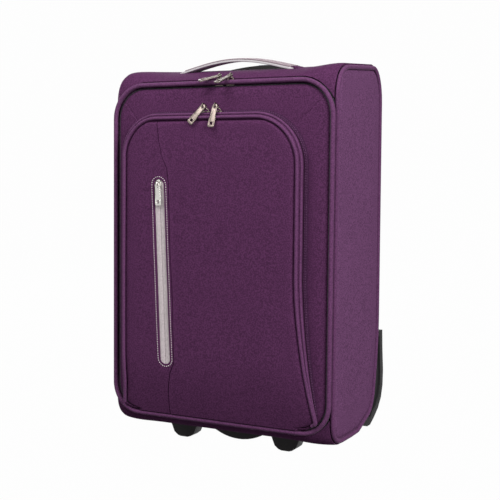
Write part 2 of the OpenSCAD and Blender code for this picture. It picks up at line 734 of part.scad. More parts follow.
housing_rim = 12;
well_r = wheel_r + 2.5;
module housing(s) {
    mirror([s < 0 ? 1 : 0, 0, 0]) color(black_plastic) difference() {
        union() {
            along_x(housing_in, housing_out) difference() {
                housing_outline(0);
                case_section();
            }
            for (x = [wheel_x - slot_w / 2 - cheek_t, wheel_x + slot_w / 2])
            along_x(x, x + cheek_t) difference() {
                union() {
                    translate([wheel_y, wheel_r]) circle(r = cheek_r);
                    polygon([[wheel_y - cheek_r, wheel_r], [wheel_y + cheek_r, wheel_r],
                        [wheel_y + cheek_r + 6, wheel_r + 22], [wheel_y - cheek_r - 10, wheel_r + 8]]);
                }
                case_section();
            }
        }
        // room for the lower corner of the case beside the wheel
        along_x(cheek_x, side_x) polygon(side_outline);
        // shallow panel in the outer face
        along_x(housing_out - 3, housing_out + 1) difference() {
            housing_outline(housing_rim);
            case_section();
            translate([0, housing_top - 8]) square([300, 20]);
        }
        // the wheel's well
        translate([wheel_x, wheel_y, wheel_r]) rotate([0, 90, 0]) {
            cylinder(r = well_r, h = slot_w, center = true);
            cylinder(d = axle_d + 2 * run_play, h = 2 * slot_w, center = true);
        }
        translate([wheel_x - slot_w / 2, wheel_y - well_r, 0]) cube([slot_w, 2 * well_r, wheel_r]);
        for (x = housing_screw_x) translate([x, housing_y - 12, housing_screw_z])
            rotate([90, 0, 0]) cylinder(d = hole_d, h = 40);
    }
}

module housing_left() place() housing(-1);
module housing_right() place() housing(1);

module axle(s) {
    len = slot_w + 2 * cheek_t;
    color(steel) translate([s * wheel_x, wheel_y, wheel_r]) rotate([0, 90, 0]) {
        cylinder(r = axle_r, h = len + 2, center = true);
        for (t = [-1, 1]) translate([0, 0, t * (len / 2 + 0.9)])
            cylinder(r = axle_r + 2, h = 1.6, center = true);
    }
}
module axle_left() place() axle(-1);
module axle_right() place() axle(1);

module hub(s) {
    color(steel) translate([s * wheel_x, wheel_y, wheel_r]) rotate([0, 90, 0]) difference() {
        cylinder(r = hub_r, h = wheel_w, center = true);
        cylinder(d = axle_d + 2 * run_play, h = wheel_w + 2, center = true);
        for (t = [-1, 1]) translate([0, 0, t * wheel_w / 2]) difference() {
            cylinder(r = hub_r - 3, h = 8, center = true);
            cylinder(r = axle_r + 3, h = 10, center = true);
        }
    }
}
module tyre(s) {
    h = wheel_w / 2;
    color(black_plastic) translate([s * wheel_x, wheel_y, wheel_r]) rotate([0, 90, 0])
        rotate_extrude($fn = 72)
            polygon([[hub_r, -h], [wheel_r - 3, -h], [wheel_r - 0.9, 1.2 - h], [wheel_r, 4 - h],
                [wheel_r, h - 4], [wheel_r - 0.9, h - 1.2], [wheel_r - 3, h], [hub_r, h]]);
}
module hub_left() place() hub(-1);
module hub_right() place() hub(1);
module tyre_left() place() tyre(-1);
module tyre_right() place() tyre(1);

module foot(s) {
    sole = 24;
    color(black_plastic) difference() {
        union() {
            along_y(foot_y - foot_deep / 2, foot_y + foot_deep / 2) translate([s * foot_x, 0])
                polygon([[-foot_w / 2, floor_gap], [-sole / 2 - 4.5, 6], [-sole / 2 + 1.5, 1.4], [-sole / 4, 0],
                    [sole / 4, 0], [sole / 2 - 1.5, 1.4], [sole / 2 + 4.5, 6], [foot_w / 2, floor_gap]]);
            translate([s * (foot_x + foot_w * 0.12) - foot_w * 0.62, foot_y - 14, floor_gap - 2])
                cube([foot_w * 1.24, 28, 2]);
        }
        foot_screws(hole_d, 30);
    }
}
module foot_left() place() foot(-1);
module foot_right() place() foot(1);

module bottom_grip() place() color(black_plastic) {
    drop = floor_gap - grip_lip_low;
    half = min(bottom_grip_w / 2, foot_x - foot_w / 2 - 1.5);
    r = (half ^ 2 + drop ^ 2) / (2 * drop);
    a = asin(half / r);
    along_y(grip_lip_y - 5, grip_lip_y)
        polygon(arc([0, floor_gap - drop + r], [r, r], 270 - a, 270 + a, 16));
    translate([-half + 4, foot_y - 10, floor_gap - 2]) cube([2 * half - 8, grip_lip_y - foot_y + 8, 2]);
}

module screws() place() color(steel) {
    for (s = [-1, 1], t = [-1, 1])
        translate([s * foot_x + t * foot_screw_x, foot_y, floor_gap + wall_t + board_t]) screw(17);
    for (s = [-1, 1], x = housing_screw_x)
        translate([s * x, board_y, housing_screw_z]) rotate([90, 0, 0]) screw(18);
}

module hinge_strip() place() color(purple)
    translate([-lid_w / 2 + lid_r_low + 4, lid_hinge[0] + 0.4, lid_hinge[1] - 1])
        cube([lid_w - 2 * lid_r_low - 8, seam_y - lid_hinge[0] + 0.6, 1.2]);

// ---- lid ----

module lid_panel() place() color(purple) along_y(0, lid_t) polygon(lid_path(piping_d));
module lid_piping() place() color(light_purple)
    cord_loop(stood(lid_path(piping_r), lid_t - piping_r), piping_r, [0, -1, 0]);
module main_zip_lid_tape() place() color(dark_cloth)
    zip_half(lid_t, lid_t + chain_half, lid_path(chain_from), lid_path(chain_to), zip_low);
module lid_lining() place() color(dark_cloth) along_y(lid_t, lid_t + 0.8) polygon(lid_path(8));
mesh_x = 130;
mesh_low = 80;
mesh_top = 400;
module mesh_pocket() place() color(dark_cloth) along_y(lid_t + 0.8, lid_t + 2)
    translate([-mesh_x, mesh_low]) square([2 * mesh_x, mesh_top - mesh_low]);
module pocket_zip_lid_tape() place() color(dark_cloth)
    zip_half(pocket_rear, 0, pocket_path(chain_from), pocket_path(chain_to), zip_low);

// ---- pocket flap ----

// The padded shell: from its inner face out to its rear edge, and back along its outer face
module flap_shell() {
    function ring(path, d, s) = [for (p = path) [p[0], mix(base_y(p[1]), face_y(p[1]) + d, s), p[1]]];
    rings = [ring(face_path(pocket_t), pocket_t, 1), ring(pocket_path(pocket_t + 0.8), pocket_t, 0.5),
        ring(pocket_path(pocket_t), 0, 0), ring(pocket_path(0), 0, 0), ring(pocket_path(0.8), 0, 0.5),
        ring(face_path(0), 0, 1)];
    m = len(rings[0]);
    n = len(rings);
    sides = [for (i = [0:n - 2], j = [0:m - 1]) let (a = i * m + j, b = i * m + (j + 1) % m)
        each [[a, b + m, b], [a, a + m, b + m]]];
    caps = [for (j = [0:m / 2 - 2]) let (a = j, b = m - 1 - j, c = (n - 1) * m)
        each [[a, a + 1, b], [a + 1, b - 1, b], [c + a, c + b, c + a + 1], [c + a + 1, c + b, c + b - 1]]];
    polyhedron([for (r = rings) each r], concat(sides, caps));
}

module side_zip_frame() {
    translate([side_zip_mid[0], 0, side_zip_mid[1]]) rotate([0, -side_zip_lean, 0]) children();
}
module side_zip_shape(grow) {
    h = side_zip_len / 2 + grow;
    w = side_zip_w / 2 + grow;
    polygon([[-w, 4 - h], [0, -h], [w, 4 - h], [w, h - 6], [w / 2, h - 1], [-w / 2, h - 1], [-w, h - 6]]);
}

module pocket_panel() place() color(purple) difference() {
    flap_shell();
    side_zip_frame() along_y(-pocket_proud - 2, -pocket_proud + pocket_t + 3) side_zip_shape(0);
}
module pocket_piping() place() color(light_purple)
    cord_loop([for (p = face_path(-1)) [p[0], face_y(p[1]) + 0.9, p[1]]], 1.6, [0, -1, 0], 6);
module pocket_zip_flap_tape() place() color(dark_cloth)
    zip_half(flap_y, pocket_base, pocket_path(chain_from), pocket_path(chain_to), zip_low);

module side_zip_tape() place() color(lilac) side_zip_frame()
    along_y(side_tape_y, side_tape_y + side_tape_t) difference() {
        side_zip_shape(-0.2);
        translate([-chain_slot / 2, 8 - side_zip_len / 2]) square([chain_slot, side_zip_len - 11]);
    }

pouch_x = [-24, 42];
pouch_end = [4, 10];
module side_pouch() place() color(dark_cloth) side_zip_frame()
    translate([pouch_x[0], side_tape_y + side_tape_t + 2.2, -side_zip_len / 2 + pouch_end[0]])
        cube([pouch_x[1] - pouch_x[0], 1.2, side_zip_len - pouch_end[0] - pouch_end[1]]);

// ---- sliders and pulls ----

module main_slider(s) {
    x = main_pair_x + s * main_pair_gap / 2;
    color(silver) {
        slider(x, main_mid, lid_top);
        pull_pin(x, main_eye, main_tilt, 5);
    }
}
module pocket_slider(s) {
    x = pocket_pair_x + s * pocket_pair_gap / 2;
    color(silver) {
        slider(x, pocket_mid, pocket_top);
        pull_pin(x, pocket_eye, pocket_tilt, 10);
    }
}
module main_pull(s, swing) {
    color(silver) pull(main_pair_x + s * main_pair_gap / 2, main_eye, main_tilt, swing);
}
module pocket_pull(s, swing) {
    color(silver) pull(pocket_pair_x + s * pocket_pair_gap / 2, pocket_eye, pocket_tilt, swing);
}
module main_slider_left() place() main_slider(-1);
module main_slider_right() place() main_slider(1);
module pocket_slider_left() place() pocket_slider(-1);
module pocket_slider_right() place() pocket_slider(1);
module main_pull_left() place() main_pull(-1, -50);
module main_pull_right() place() main_pull(1, -15);
module pocket_pull_left() place() pocket_pull(-1, -38);
module pocket_pull_right() place() pocket_pull(1, -5);

side_pin_d = pull_pin_d - 0.8;
module side_zip_slider() place() color(silver) side_zip_frame() translate([0, 0, side_slider_up]) {
    web = chain_slot - 2 * gap;
    translate([-4.5, side_tape_y - gap - 1.8, -6]) cube([9, 1.8, 12]);
    translate([-web / 2, side_tape_y - gap - 1, -4]) cube([web, side_tape_t + 2 * gap + 1.4, 8]);
    translate([-4.5, side_tape_y + side_tape_t + gap, -6]) cube([9, 1, 12]);
    for (s = [-1, 1]) translate([s * 2.6 - 0.7, side_pull_y - 1.4, -2]) cube([1.4, 4, 4]);
    translate([-3.3, side_pull_y, 0]) rotate([0, 90, 0]) cylinder(d = side_pin_d, h = 6.6);
}
module side_zip_pull() place() color(silver) side_zip_frame() translate([0, side_pull_y, side_slider_up]) {
    difference() {
        union() {
            rotate([0, 90, 0]) cylinder(d = 3, h = 3.2, center = true);
            translate([-1.6, -0.8, -5]) cube([3.2, 1.6, 5]);
            along_y(-pull_t / 2, pull_t / 2) difference() {
                translate([-pull_w / 2, -pull_len]) square([pull_w, pull_len - 4]);
                translate([-1.7, 2.4 - pull_len]) square([3.4, 4]);
            }
        }
        rotate([0, 90, 0]) cylinder(d = side_pin_d + 2 * run_play, h = 10, center = true);
    }
}

side_panel_left();
side_panel_right();
side_piping_left();
side_piping_right();
top_panel();
back_panel();
bottom_panel();
main_zip_body_tape();
frame_wire();
back_board();
bottom_board();
lining();
packing_straps();
strap_buckle();
handle_tray();
outer_tubes();
tube_foot();
tube_clamps();
carry_strap();
carry_covers();
carry_plates();
housing_left();
housing_right();
axle_left();
axle_right();
foot_left();
foot_right();
bottom_grip();
screws();
hinge_strip();
lid_panel();
lid_piping();
main_zip_lid_tape();
lid_lining();
mesh_pocket();
pocket_zip_lid_tape();
pocket_panel();
pocket_piping();
pocket_zip_flap_tape();
side_zip_tape();
side_pouch();
mid_tubes();
inner_tubes();
grip();
grip_button();
hub_left();
hub_right();
tyre_left();
tyre_right();
main_slider_left();
main_slider_right();
pocket_slider_left();
pocket_slider_right();
side_zip_slider();
main_pull_left();
main_pull_right();
pocket_pull_left();
pocket_pull_right();
side_zip_pull();
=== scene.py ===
"""Softside upright suitcase: its fabric, piping, zips, pulls and stage, made round the fixed CAD frame."""
import math

import bmesh
import bpy
from mathutils import Matrix, Vector, noise


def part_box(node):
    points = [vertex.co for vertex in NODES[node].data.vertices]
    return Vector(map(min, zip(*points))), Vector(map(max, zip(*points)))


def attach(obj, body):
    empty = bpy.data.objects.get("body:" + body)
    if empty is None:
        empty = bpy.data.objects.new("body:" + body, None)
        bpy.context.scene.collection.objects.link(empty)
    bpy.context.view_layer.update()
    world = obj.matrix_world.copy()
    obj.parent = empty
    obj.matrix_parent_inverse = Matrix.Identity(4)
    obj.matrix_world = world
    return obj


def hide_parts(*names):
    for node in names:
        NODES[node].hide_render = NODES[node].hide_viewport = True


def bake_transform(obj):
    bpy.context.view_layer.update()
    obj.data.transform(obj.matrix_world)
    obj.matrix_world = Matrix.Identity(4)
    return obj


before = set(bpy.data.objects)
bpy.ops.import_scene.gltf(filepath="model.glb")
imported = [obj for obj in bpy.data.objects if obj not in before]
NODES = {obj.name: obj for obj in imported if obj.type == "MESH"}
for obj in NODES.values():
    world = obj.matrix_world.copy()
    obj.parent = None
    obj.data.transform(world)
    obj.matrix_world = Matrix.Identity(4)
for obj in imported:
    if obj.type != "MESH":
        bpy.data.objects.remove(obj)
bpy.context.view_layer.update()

bl_info = {
    "name": "Softside Suitcase",
    "version": (1, 0, 0),
    "blender": (4, 5, 0),
    "location": "3D View > Sidebar > Suitcase",
    "description": "Makes the fabric, piping, zips, pulls and finishes of a softside upright suitcase",
    "category": "Object",
}

# Every size below is in millimetres, from the floor, the middle of the case and the lid's face.
MM = 0.001
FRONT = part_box("lid_panel")[0][1] / MM


def low(node, axis):
    """A CAD node's lowest coordinate along an axis."""
    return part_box(node)[0][axis] / MM - (FRONT if axis == 1 else 0)


def high(node, axis):
    """A CAD node's highest coordinate along an axis."""
    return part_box(node)[1][axis] / MM - (FRONT if axis == 1 else 0)


def centre_of(node, axis):
    """The middle of a CAD node along an axis."""
    return (low(node, axis) + high(node, axis)) / 2


def half_size(node, axis):
    """Half a CAD node's size along an axis."""
    return (high(node, axis) - low(node, axis)) / 2


SIDE_X = high("side_piping_right", 0)
PIPING = (SIDE_X - low("side_piping_right", 0)) / 2
WRAP_X = high("top_panel", 0)
CASE_TOP = high("top_panel", 2)
CASE_D = high("top_panel", 1)
BACK_LOW_Y = high("back_panel", 1)
FLOOR_GAP = low("bottom_panel", 2)
LID_W = 2 * high("lid_piping", 0)
LID_TOP = high("lid_piping", 2)
LID_BOTTOM = low("lid_piping", 2)
LID_T = high("lid_panel", 1)
LID_R = 50
LID_R_LOW = 44
SEAM_Y = high("main_zip_body_tape", 1)
ZIP_LOW = low("main_zip_lid_tape", 2)
REAR_CORNER = Vector((32, 52))
TRAY_CORNER = Vector((20, 30))
FRONT_CORNER_Y = 46
FLAT_END_Y = 78
RISE_END_Y = 150
WHEEL_RISE = 34
BEND_Z = 177
CHEEK_X = 137
WINDOW_X = 76
SIDE_PADDING = 2.6
LID_PADDING = 2.2
POCKET_PADDING = 1.6

POCKET_LEFT = low("pocket_zip_lid_tape", 0) - 1.5
POCKET_RIGHT = LID_W / 2 - 36
POCKET_FLARE = 19
POCKET_TOP = high("pocket_zip_lid_tape", 2) + 1.5
POCKET_LOW = LID_BOTTOM + 2 * PIPING + 1
POCKET_FACE_Y = low("pocket_panel", 1)
POCKET_R = (60, 74)
POCKET_R_LOW = LID_R_LOW - 2 * PIPING - 1
POCKET_CORNER_X = LID_W / 2 - LID_R_LOW
SHOULDER = 13
FLAP_FOOT_Y = -0.5
RIDGE_LOW = 55

SIDE_ZIP_TOP = high("side_zip_tape", 2)
SIDE_ZIP_LOW = low("side_zip_tape", 2)
SIDE_ZIP_LEAN = math.radians(2.6)
SIDE_ZIP_HALF = 8


# ---- shapes in the plane ----

def mix(a, b, share):
    """The point or number a share of the way from a to b."""
    return a + (b - a) * share


def ease(value, start, end):
    """0 before start, 1 after end, and smooth between them."""
    t = min(1.0, max(0.0, (value - start) / (end - start)))
    return t * t * (3 - 2 * t)


def arc(centre, radii, start, end, steps=12):
    """Points on an ellipse's arc, from one angle to another in degrees."""
    turns = [math.radians(mix(start, end, i / steps)) for i in range(steps + 1)]
    return [Vector((centre[0] + radii[0] * math.cos(a), centre[1] + radii[1] * math.sin(a))) for a in turns]


def rounded(x0, x1, z0, z1, corner, foot_corner=None, steps=12):
    """A rectangle with round corners, from its right edge round over the top."""
    foot = corner if foot_corner is None else foot_corner
    return (arc((x1 - corner, z1 - corner), (corner, corner), 0, 90, steps)
            + arc((x0 + corner, z1 - corner), (corner, corner), 90, 180, steps)
            + arc((x0 + foot, z0 + foot), (foot, foot), 180, 270, steps)
            + arc((x1 - foot, z0 + foot), (foot, foot), 270, 360, steps))


def curve(start, pull, end, steps=12):
    """Points on a curve from start to end that leans towards pull."""
    start, pull, end = Vector(start), Vector(pull), Vector(end)
    shares = [i / steps for i in range(steps + 1)]
    return [(1 - t) ** 2 * start + 2 * t * (1 - t) * pull + t * t * end for t in shares]


def spaced(points, gap, closed=False):
    """The same path with its points about gap apart."""
    ends = points + points[:1] if closed else points
    lengths = [(b - a).length for a, b in zip(ends, ends[1:])]
    count = max(2, round(sum(lengths) / gap))
    result, walked, k = [], 0.0, 0
    for i in range(count if closed else count + 1):
        target = sum(lengths) * i / count
        while k < len(lengths) - 1 and walked + lengths[k] < target:
            walked += lengths[k]
            k += 1
        result.append(mix(ends[k], ends[k + 1], min(1.0, (target - walked) / max(lengths[k], 1e-9))))
    return result


def offset(points, distance, closed=True):
    """A path in the plane moved to its left."""
    count = len(points)
    result = []
    for i, point in enumerate(points):
        before = points[(i - 1) % count] if closed else points[max(i - 1, 0)]
        after = points[(i + 1) % count] if closed else points[min(i + 1, count - 1)]
        along = (after - before).normalized()
        result.append(point + distance * Vector((-along.y, along.x)))
    return result


def lid_low_z(x):
    """Height of the lid's bottom edge at x."""
    inside = max(0.0, abs(x) - LID_W / 2 + LID_R_LOW)
    return LID_BOTTOM + LID_R_LOW - math.sqrt(max(0.0, LID_R_LOW ** 2 - inside ** 2))


def lid_top_z(x):
    """Height of the lid's top edge at x."""
    inside = max(0.0, abs(x) - LID_W / 2 + LID_R)
    return LID_TOP - LID_R + math.sqrt(max(0.0, LID_R ** 2 - inside ** 2))


def case_profile(x):
    """The wrap from its lower front edge, under the case, up the back and over the top, as (y, z).

    The second list holds the numbers of the points where the opening for the handle's tray starts and ends.
    """
    side = ease(abs(x), 100, WRAP_X)
    floor_curve = curve((SEAM_Y, lid_low_z(x)), mix(Vector((20, FLOOR_GAP + 1)), Vector((SEAM_Y, FLOOR_GAP)), side),
                        (FRONT_CORNER_Y, FLOOR_GAP), 14)
    beside_wheel = ease(abs(x), CHEEK_X, WRAP_X - 5)
    start = mix(Vector((92, FLOOR_GAP + 2)), Vector((104, FLOOR_GAP + 1)), beside_wheel)
    end = mix(Vector((RISE_END_Y, FLOOR_GAP + WHEEL_RISE)), Vector((RISE_END_Y, FLOOR_GAP + 19)), beside_wheel)
    knee = mix(Vector((CASE_D - 10, FLOOR_GAP + 67)), Vector((CASE_D - 9, FLOOR_GAP + 45)), beside_wheel)
    chamfer = curve(mix(start, end, 0.86), end + Vector((8, 4)), knee, 8)
    heel = curve(knee, (BACK_LOW_Y - 1, (knee.y + BEND_Z) / 2 + 6), (BACK_LOW_Y, BEND_Z), 10)
    corner = mix(TRAY_CORNER, REAR_CORNER, ease(abs(x), 92, WRAP_X))
    back_end = Vector((CASE_D, CASE_TOP - corner.y))
    opening = mix(heel[-1], back_end, 0.952)
    rear = arc((CASE_D - corner.x, CASE_TOP - corner.y), corner, 0, 90, 12)
    brow = mix(90, FRONT_CORNER_Y + 10, side)
    brow_z = top_z(brow) - mix(2.5, 0, side)
    front = curve((brow, brow_z), mix(Vector((34, LID_TOP + 13)), Vector((SEAM_Y, top_z(30))), side),
                  (SEAM_Y, lid_top_z(x)), 18)
    mouth = mix(rear[-1], front[0], 0.39)
    stretches = [floor_curve, [Vector((FLAT_END_Y, FLOOR_GAP)), start, chamfer[0]], chamfer[1:],
                 heel[1:], [mix(heel[-1], opening, k / 24) for k in range(1, 25)], [mix(opening, back_end, 0.5)],
                 rear, [mouth], [mix(mouth, front[0], k / 5) for k in range(1, 5)], front]
    opening_at = sum(len(s) for s in stretches[:5]) - 1
    mouth_at = sum(len(s) for s in stretches[:8]) - 1
    return [p for s in stretches for p in s], (opening_at, mouth_at)


def top_z(y):
    """Height of the case's top seam at y."""
    return CASE_TOP - 7 * (CASE_D - REAR_CORNER.x - y) / (CASE_D - REAR_CORNER.x - 56)


def lid_outline(inset):
    """The lid's outline as (x, z), from its right edge round over the top, moved inwards."""
    half = LID_W / 2 - inset
    return rounded(-half, half, LID_BOTTOM + inset, LID_TOP - inset, LID_R - inset, LID_R_LOW - inset)


def pocket_side(side, inset):
    """One side of the pocket's outline as (x, z), from the foot up to the middle of the top."""
    radius = POCKET_R_LOW - inset
    sign = 1 if side > 0 else -1
    edge = POCKET_RIGHT if side > 0 else -POCKET_LEFT
    flare = POCKET_FLARE if side > 0 else 0
    foot = edge + flare - inset
    lean = math.acos((foot - POCKET_CORNER_X) / radius)
    corner = POCKET_R[1] if side > 0 else POCKET_R[0]
    foot_z = POCKET_LOW + POCKET_R_LOW - radius * math.sin(lean)
    points = (arc((POCKET_CORNER_X, POCKET_LOW + POCKET_R_LOW), (radius, radius), 270, 360 - math.degrees(lean), 8)
              + curve((foot, foot_z + 4), (edge + (4 if flare else 0) - inset, POCKET_LOW + 92),
                      (edge - inset, POCKET_LOW + 202), 20)
              + arc((edge - corner, POCKET_TOP - corner), (corner - inset, corner - inset), 0, 90, 16))
    return [Vector((sign * p.x, p.y)) for p in points]


def shoulder_share(point):
    """How much of the shoulder's full width it keeps beside a point of the face's outline."""
    if point.x > 0:
        return mix(0.3, 1, ease(point.y, POCKET_LOW + 20, POCKET_LOW + 190))
    foot = mix(0.2, 0.75, ease(point.y, POCKET_LOW + 2, POCKET_LOW + 50))
    return mix(foot, 1, ease(point.y, POCKET_TOP - 85, POCKET_TOP - SHOULDER - 6))


def face_outline(side, inset=0.0):
    """One side of the outline of the pocket's flat face."""
    outer, inner = pocket_side(side, inset), pocket_side(side, inset + SHOULDER)
    return [mix(a, b, shoulder_share(b)) for a, b in zip(outer, inner)]


def face_y(z):
    """Depth of the pocket's face at a height."""
    share = min(1.0, max(0.0, (z - POCKET_LOW) / 96))
    return mix(FLAP_FOOT_Y - 3, POCKET_FACE_Y, 1 - (1 - share) ** 2)


def reach_at(side_points, z):
    """The x of a side outline at a height."""
    for a, b in zip(side_points, side_points[1:]):
        if (a.y - z) * (b.y - z) <= 0 and abs(b.y - a.y) > 1e-6:
            return mix(a.x, b.x, (z - a.y) / (b.y - a.y))
    return side_points[0].x if z < side_points[0].y else side_points[-1].x


def wobble(point, size, depth, seed=0):
    """A smooth random height for cloth that is never quite flat."""
    return depth * noise.noise(Vector(point) / size + Vector((seed * 7.3, seed * 3.1, seed * 5.7)))


# ---- mesh makers ----

def ring_edges(bm, points, closed=True):
    """A chain of edges through points."""
    verts = [bm.verts.new(p) for p in points]
    pairs = zip(verts, verts[1:] + verts[:1]) if closed else zip(verts, verts[1:])
    return verts, [bm.edges.new(pair) for pair in pairs]


def drawn_out(bm, verts, edges, points):
    """Extrudes a chain of edges to the next row of points, and returns that row."""
    made = bmesh.ops.extrude_edge_only(bm, edges=edges)["geom"]
    fresh = {e for e in made if isinstance(e, bmesh.types.BMVert)}
    partner = {}
    for vert in fresh:
        for edge in vert.link_edges:
            other = edge.other_vert(vert)
            if other not in fresh:
                partner[other] = vert
    row = [partner[v] for v in verts]
    for vert, point in zip(row, points):
        vert.co = point
    pairs = set(frozenset(pair) for pair in zip(row, row[1:] + row[:1]))
    return row, [e for e in made if isinstance(e, bmesh.types.BMEdge) and frozenset(e.verts) in pairs]


def loft(rows, closed=True):
    """A skin through rows that have the same number of points."""
    bm = bmesh.new()
    verts, edges = ring_edges(bm, rows[0], closed)
    for points in rows[1:]:
        verts, edges = drawn_out(bm, verts, edges, points)
    return bm


def capped(rows):
    """A closed solid through closed rows, with a flat face at both ends."""
    bm = loft(rows)
    bmesh.ops.holes_fill(bm, edges=[e for e in bm.edges if e.is_boundary], sides=0)
    return bm


def cord(path, radius, closed=True, sides=12):
    """A round cord along a path."""
    line = bpy.data.curves.new("cord", "CURVE")
    line.dimensions = "3D"
    line.bevel_depth = radius
    line.bevel_resolution = sides // 4
    line.use_fill_caps = not closed
    spline = line.splines.new("POLY")
    spline.points.add(len(path) - 1)
    spline.use_cyclic_u = closed
    for point, place in zip(spline.points, path):
        point.co = (*place, 1)
    return curve_mesh(line)


def plate(outlines, thickness, edge):
    """A flat plate in X and Z with rounded edges. The outlines after the first are holes."""
    line = bpy.data.curves.new("plate", "CURVE")
    line.dimensions = "2D"
    line.fill_mode = "BOTH"
    line.extrude = thickness / 2 - edge
    line.bevel_depth = edge
    line.bevel_resolution = 2
    line.offset = -edge
    for outline in outlines:
        spline = line.splines.new("POLY")
        spline.points.add(len(outline) - 1)
        spline.use_cyclic_u = True
        for point, place in zip(spline.points, outline):
            point.co = (place[0], place[1], 0, 1)
    bm = curve_mesh(line)
    bmesh.ops.rotate(bm, verts=bm.verts, matrix=Matrix.Rotation(math.pi / 2, 3, "X"))
    return bm


def curve_mesh(line):
    """The mesh of a curve, which is then deleted."""
    holder = bpy.data.objects.new("line", line)
    bm = bmesh.new()
    bm.from_mesh(holder.to_mesh())
    holder.to_mesh_clear()
    bpy.data.objects.remove(holder)
    bpy.data.curves.remove(line)
    bmesh.ops.remove_doubles(bm, verts=bm.verts, dist=1e-4)
    return bm


def joined(*parts):
    """One bmesh that holds several."""
    bm = bmesh.new()
    for part in parts:
        mesh = bpy.data.meshes.new("part")
        part.to_mesh(mesh)
        part.free()
        bm.from_mesh(mesh)
        bpy.data.meshes.remove(mesh)
    return bm


def turned(bm, matrix):
    """A bmesh after a 4x4 matrix."""
    bmesh.ops.transform(bm, verts=bm.verts, matrix=matrix)
    return bm


def block(size, bevel, centre=(0, 0, 0), segments=2):
    """A box with rounded edges."""
    bm = bmesh.new()
    bmesh.ops.create_cube(bm, size=1, matrix=Matrix.Translation(centre) @ Matrix.Diagonal((*size, 1)))
    bmesh.ops.bevel(bm, geom=bm.edges[:], offset=bevel, segments=segments, profile=0.5, affect="EDGES",
                    offset_type="OFFSET", material=-1)
    return bm


def marks(path, normals, pitch, size, closed=False, shift=0.0):
    """Small blocks along a path, such as stitches or a zip's teeth, each size long, wide and high."""
    path = spaced(path, pitch, closed)
    seed = bmesh.new()
    bmesh.ops.create_cube(seed, size=1)
    top = [v for v in seed.verts if v.co.z > 0]
    bmesh.ops.scale(seed, vec=(0.7, 0.6, 1), verts=top)
    pattern = bpy.data.meshes.new("mark")
    seed.to_mesh(pattern)
    seed.free()
    bm = bmesh.new()
    for i, point in enumerate(path if closed else path[:-1]):
        after = path[(i + 1) % len(path)]
        along = (after - point).normalized()
        up = normals(point).normalized()
        across = up.cross(along).normalized()
        up = along.cross(across)
        first = len(bm.verts)
        bm.from_mesh(pattern)
        bm.verts.ensure_lookup_table()
        frame_matrix = Matrix((along * size[0], across * size[1], up * size[2])).transposed().to_4x4()
        frame_matrix.translation = mix(point, after, 0.5 + shift)
        bmesh.ops.transform(bm, verts=bm.verts[first:], matrix=frame_matrix)
    bpy.data.meshes.remove(pattern)
    return bm


def thickened(bm, depth):
    """A skin given a thickness towards its inside."""
    bmesh.ops.recalc_face_normals(bm, faces=bm.faces)
    bmesh.ops.solidify(bm, geom=bm.faces[:], thickness=depth)
    return bm


def backed(bm, shift):
    """Gives a whole skin a back, which lies a vector away from it."""
    made = bmesh.ops.extrude_face_region(bm, geom=bm.faces[:])["geom"]
    bmesh.ops.translate(bm, vec=shift, verts=[v for v in made if isinstance(v, bmesh.types.BMVert)])
    return bm


def seam(bm, start, end, reach, depth=0.8):
    """A sewn line across a front panel: cuts it along three lines and pushes the middle one in."""
    start, end = Vector(start), Vector(end)
    along = (end - start).normalized()
    across = Vector((along.z, 0, -along.x))
    for shift in (-reach, 0, reach):
        near = [f for f in bm.faces if beside(f.calc_center_median(), start, end) < 12]
        parts = set(near) | {e for f in near for e in f.edges} | {v for f in near for v in f.verts}
        bmesh.ops.bisect_plane(bm, geom=list(parts), plane_co=start + across * shift, plane_no=across, dist=1e-3)
    for vert in bm.verts:
        away = beside(vert.co, start, end)
        if away < reach * 1.5:
            vert.co.y += depth * (1 if away < reach * 0.5 else -0.3)


def beside(point, start, end):
    """Distance in X and Z from a point to the line between start and end."""
    a, b, p = (Vector((q.x, q.z)) for q in (start, end, Vector(point)))
    share = min(1.0, max(0.0, (p - a).dot(b - a) / (b - a).length_squared))
    return (p - mix(a, b, share)).length


def finished(name, bm, finish, body, slot, stands_for=(), flip_check=True):
    """Turns a bmesh into a piece of the suitcase. It rides on a body, or on none."""
    if flip_check:
        bmesh.ops.recalc_face_normals(bm, faces=bm.faces)
    bmesh.ops.scale(bm, vec=(MM, MM, MM), verts=bm.verts)
    bmesh.ops.translate(bm, vec=(0, FRONT * MM, 0), verts=bm.verts)
    mesh = bpy.data.meshes.new(name)
    for face in bm.faces:
        face.smooth = True
    bm.to_mesh(mesh)
    bm.free()
    mesh.set_sharp_from_angle(angle=math.radians(40))
    piece = bpy.data.objects.new(name, mesh)
    bpy.context.scene.collection.objects.link(piece)
    mesh.materials.append(finish)
    if body:
        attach(piece, body)
    if stands_for:
        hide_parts(*stands_for)
    return piece


# ---- finishes ----

class Wire:
    """An output socket of a material. Arithmetic on it adds Math nodes to the same tree."""

    def __init__(self, tree, socket=None):
        self.tree = tree
        self.socket = socket

    def node(self, kind, settings=None, inputs=None, output=0):
        """Adds a node of any kind and returns one of its outputs."""
        made = self.tree.nodes.new(kind)
        for name, value in (settings or {}).items():
            setattr(made, name, value)
        for name, value in (inputs or {}).items():
            if isinstance(value, Wire):
                self.tree.links.new(value.socket, made.inputs[name])
            else:
                made.inputs[name].default_value = value
        return None if output is None else Wire(self.tree, made.outputs[output])

    def math(self, operation, *values):
        """A Math node of this socket and other values."""
        return self.node("ShaderNodeMath", {"operation": operation}, dict(enumerate((self, *values))))

    def __add__(self, other):
        return self.math("ADD", other)

    def __mul__(self, other):
        return self.math("MULTIPLY", other)

    def __sub__(self, other):
        return self.math("SUBTRACT", other)

    def __rsub__(self, other):
        return self.node("ShaderNodeMath", {"operation": "SUBTRACT"}, {0: other, 1: self})

    def __pow__(self, other):
        return self.math("POWER", other)

    __radd__ = __add__
    __rmul__ = __mul__


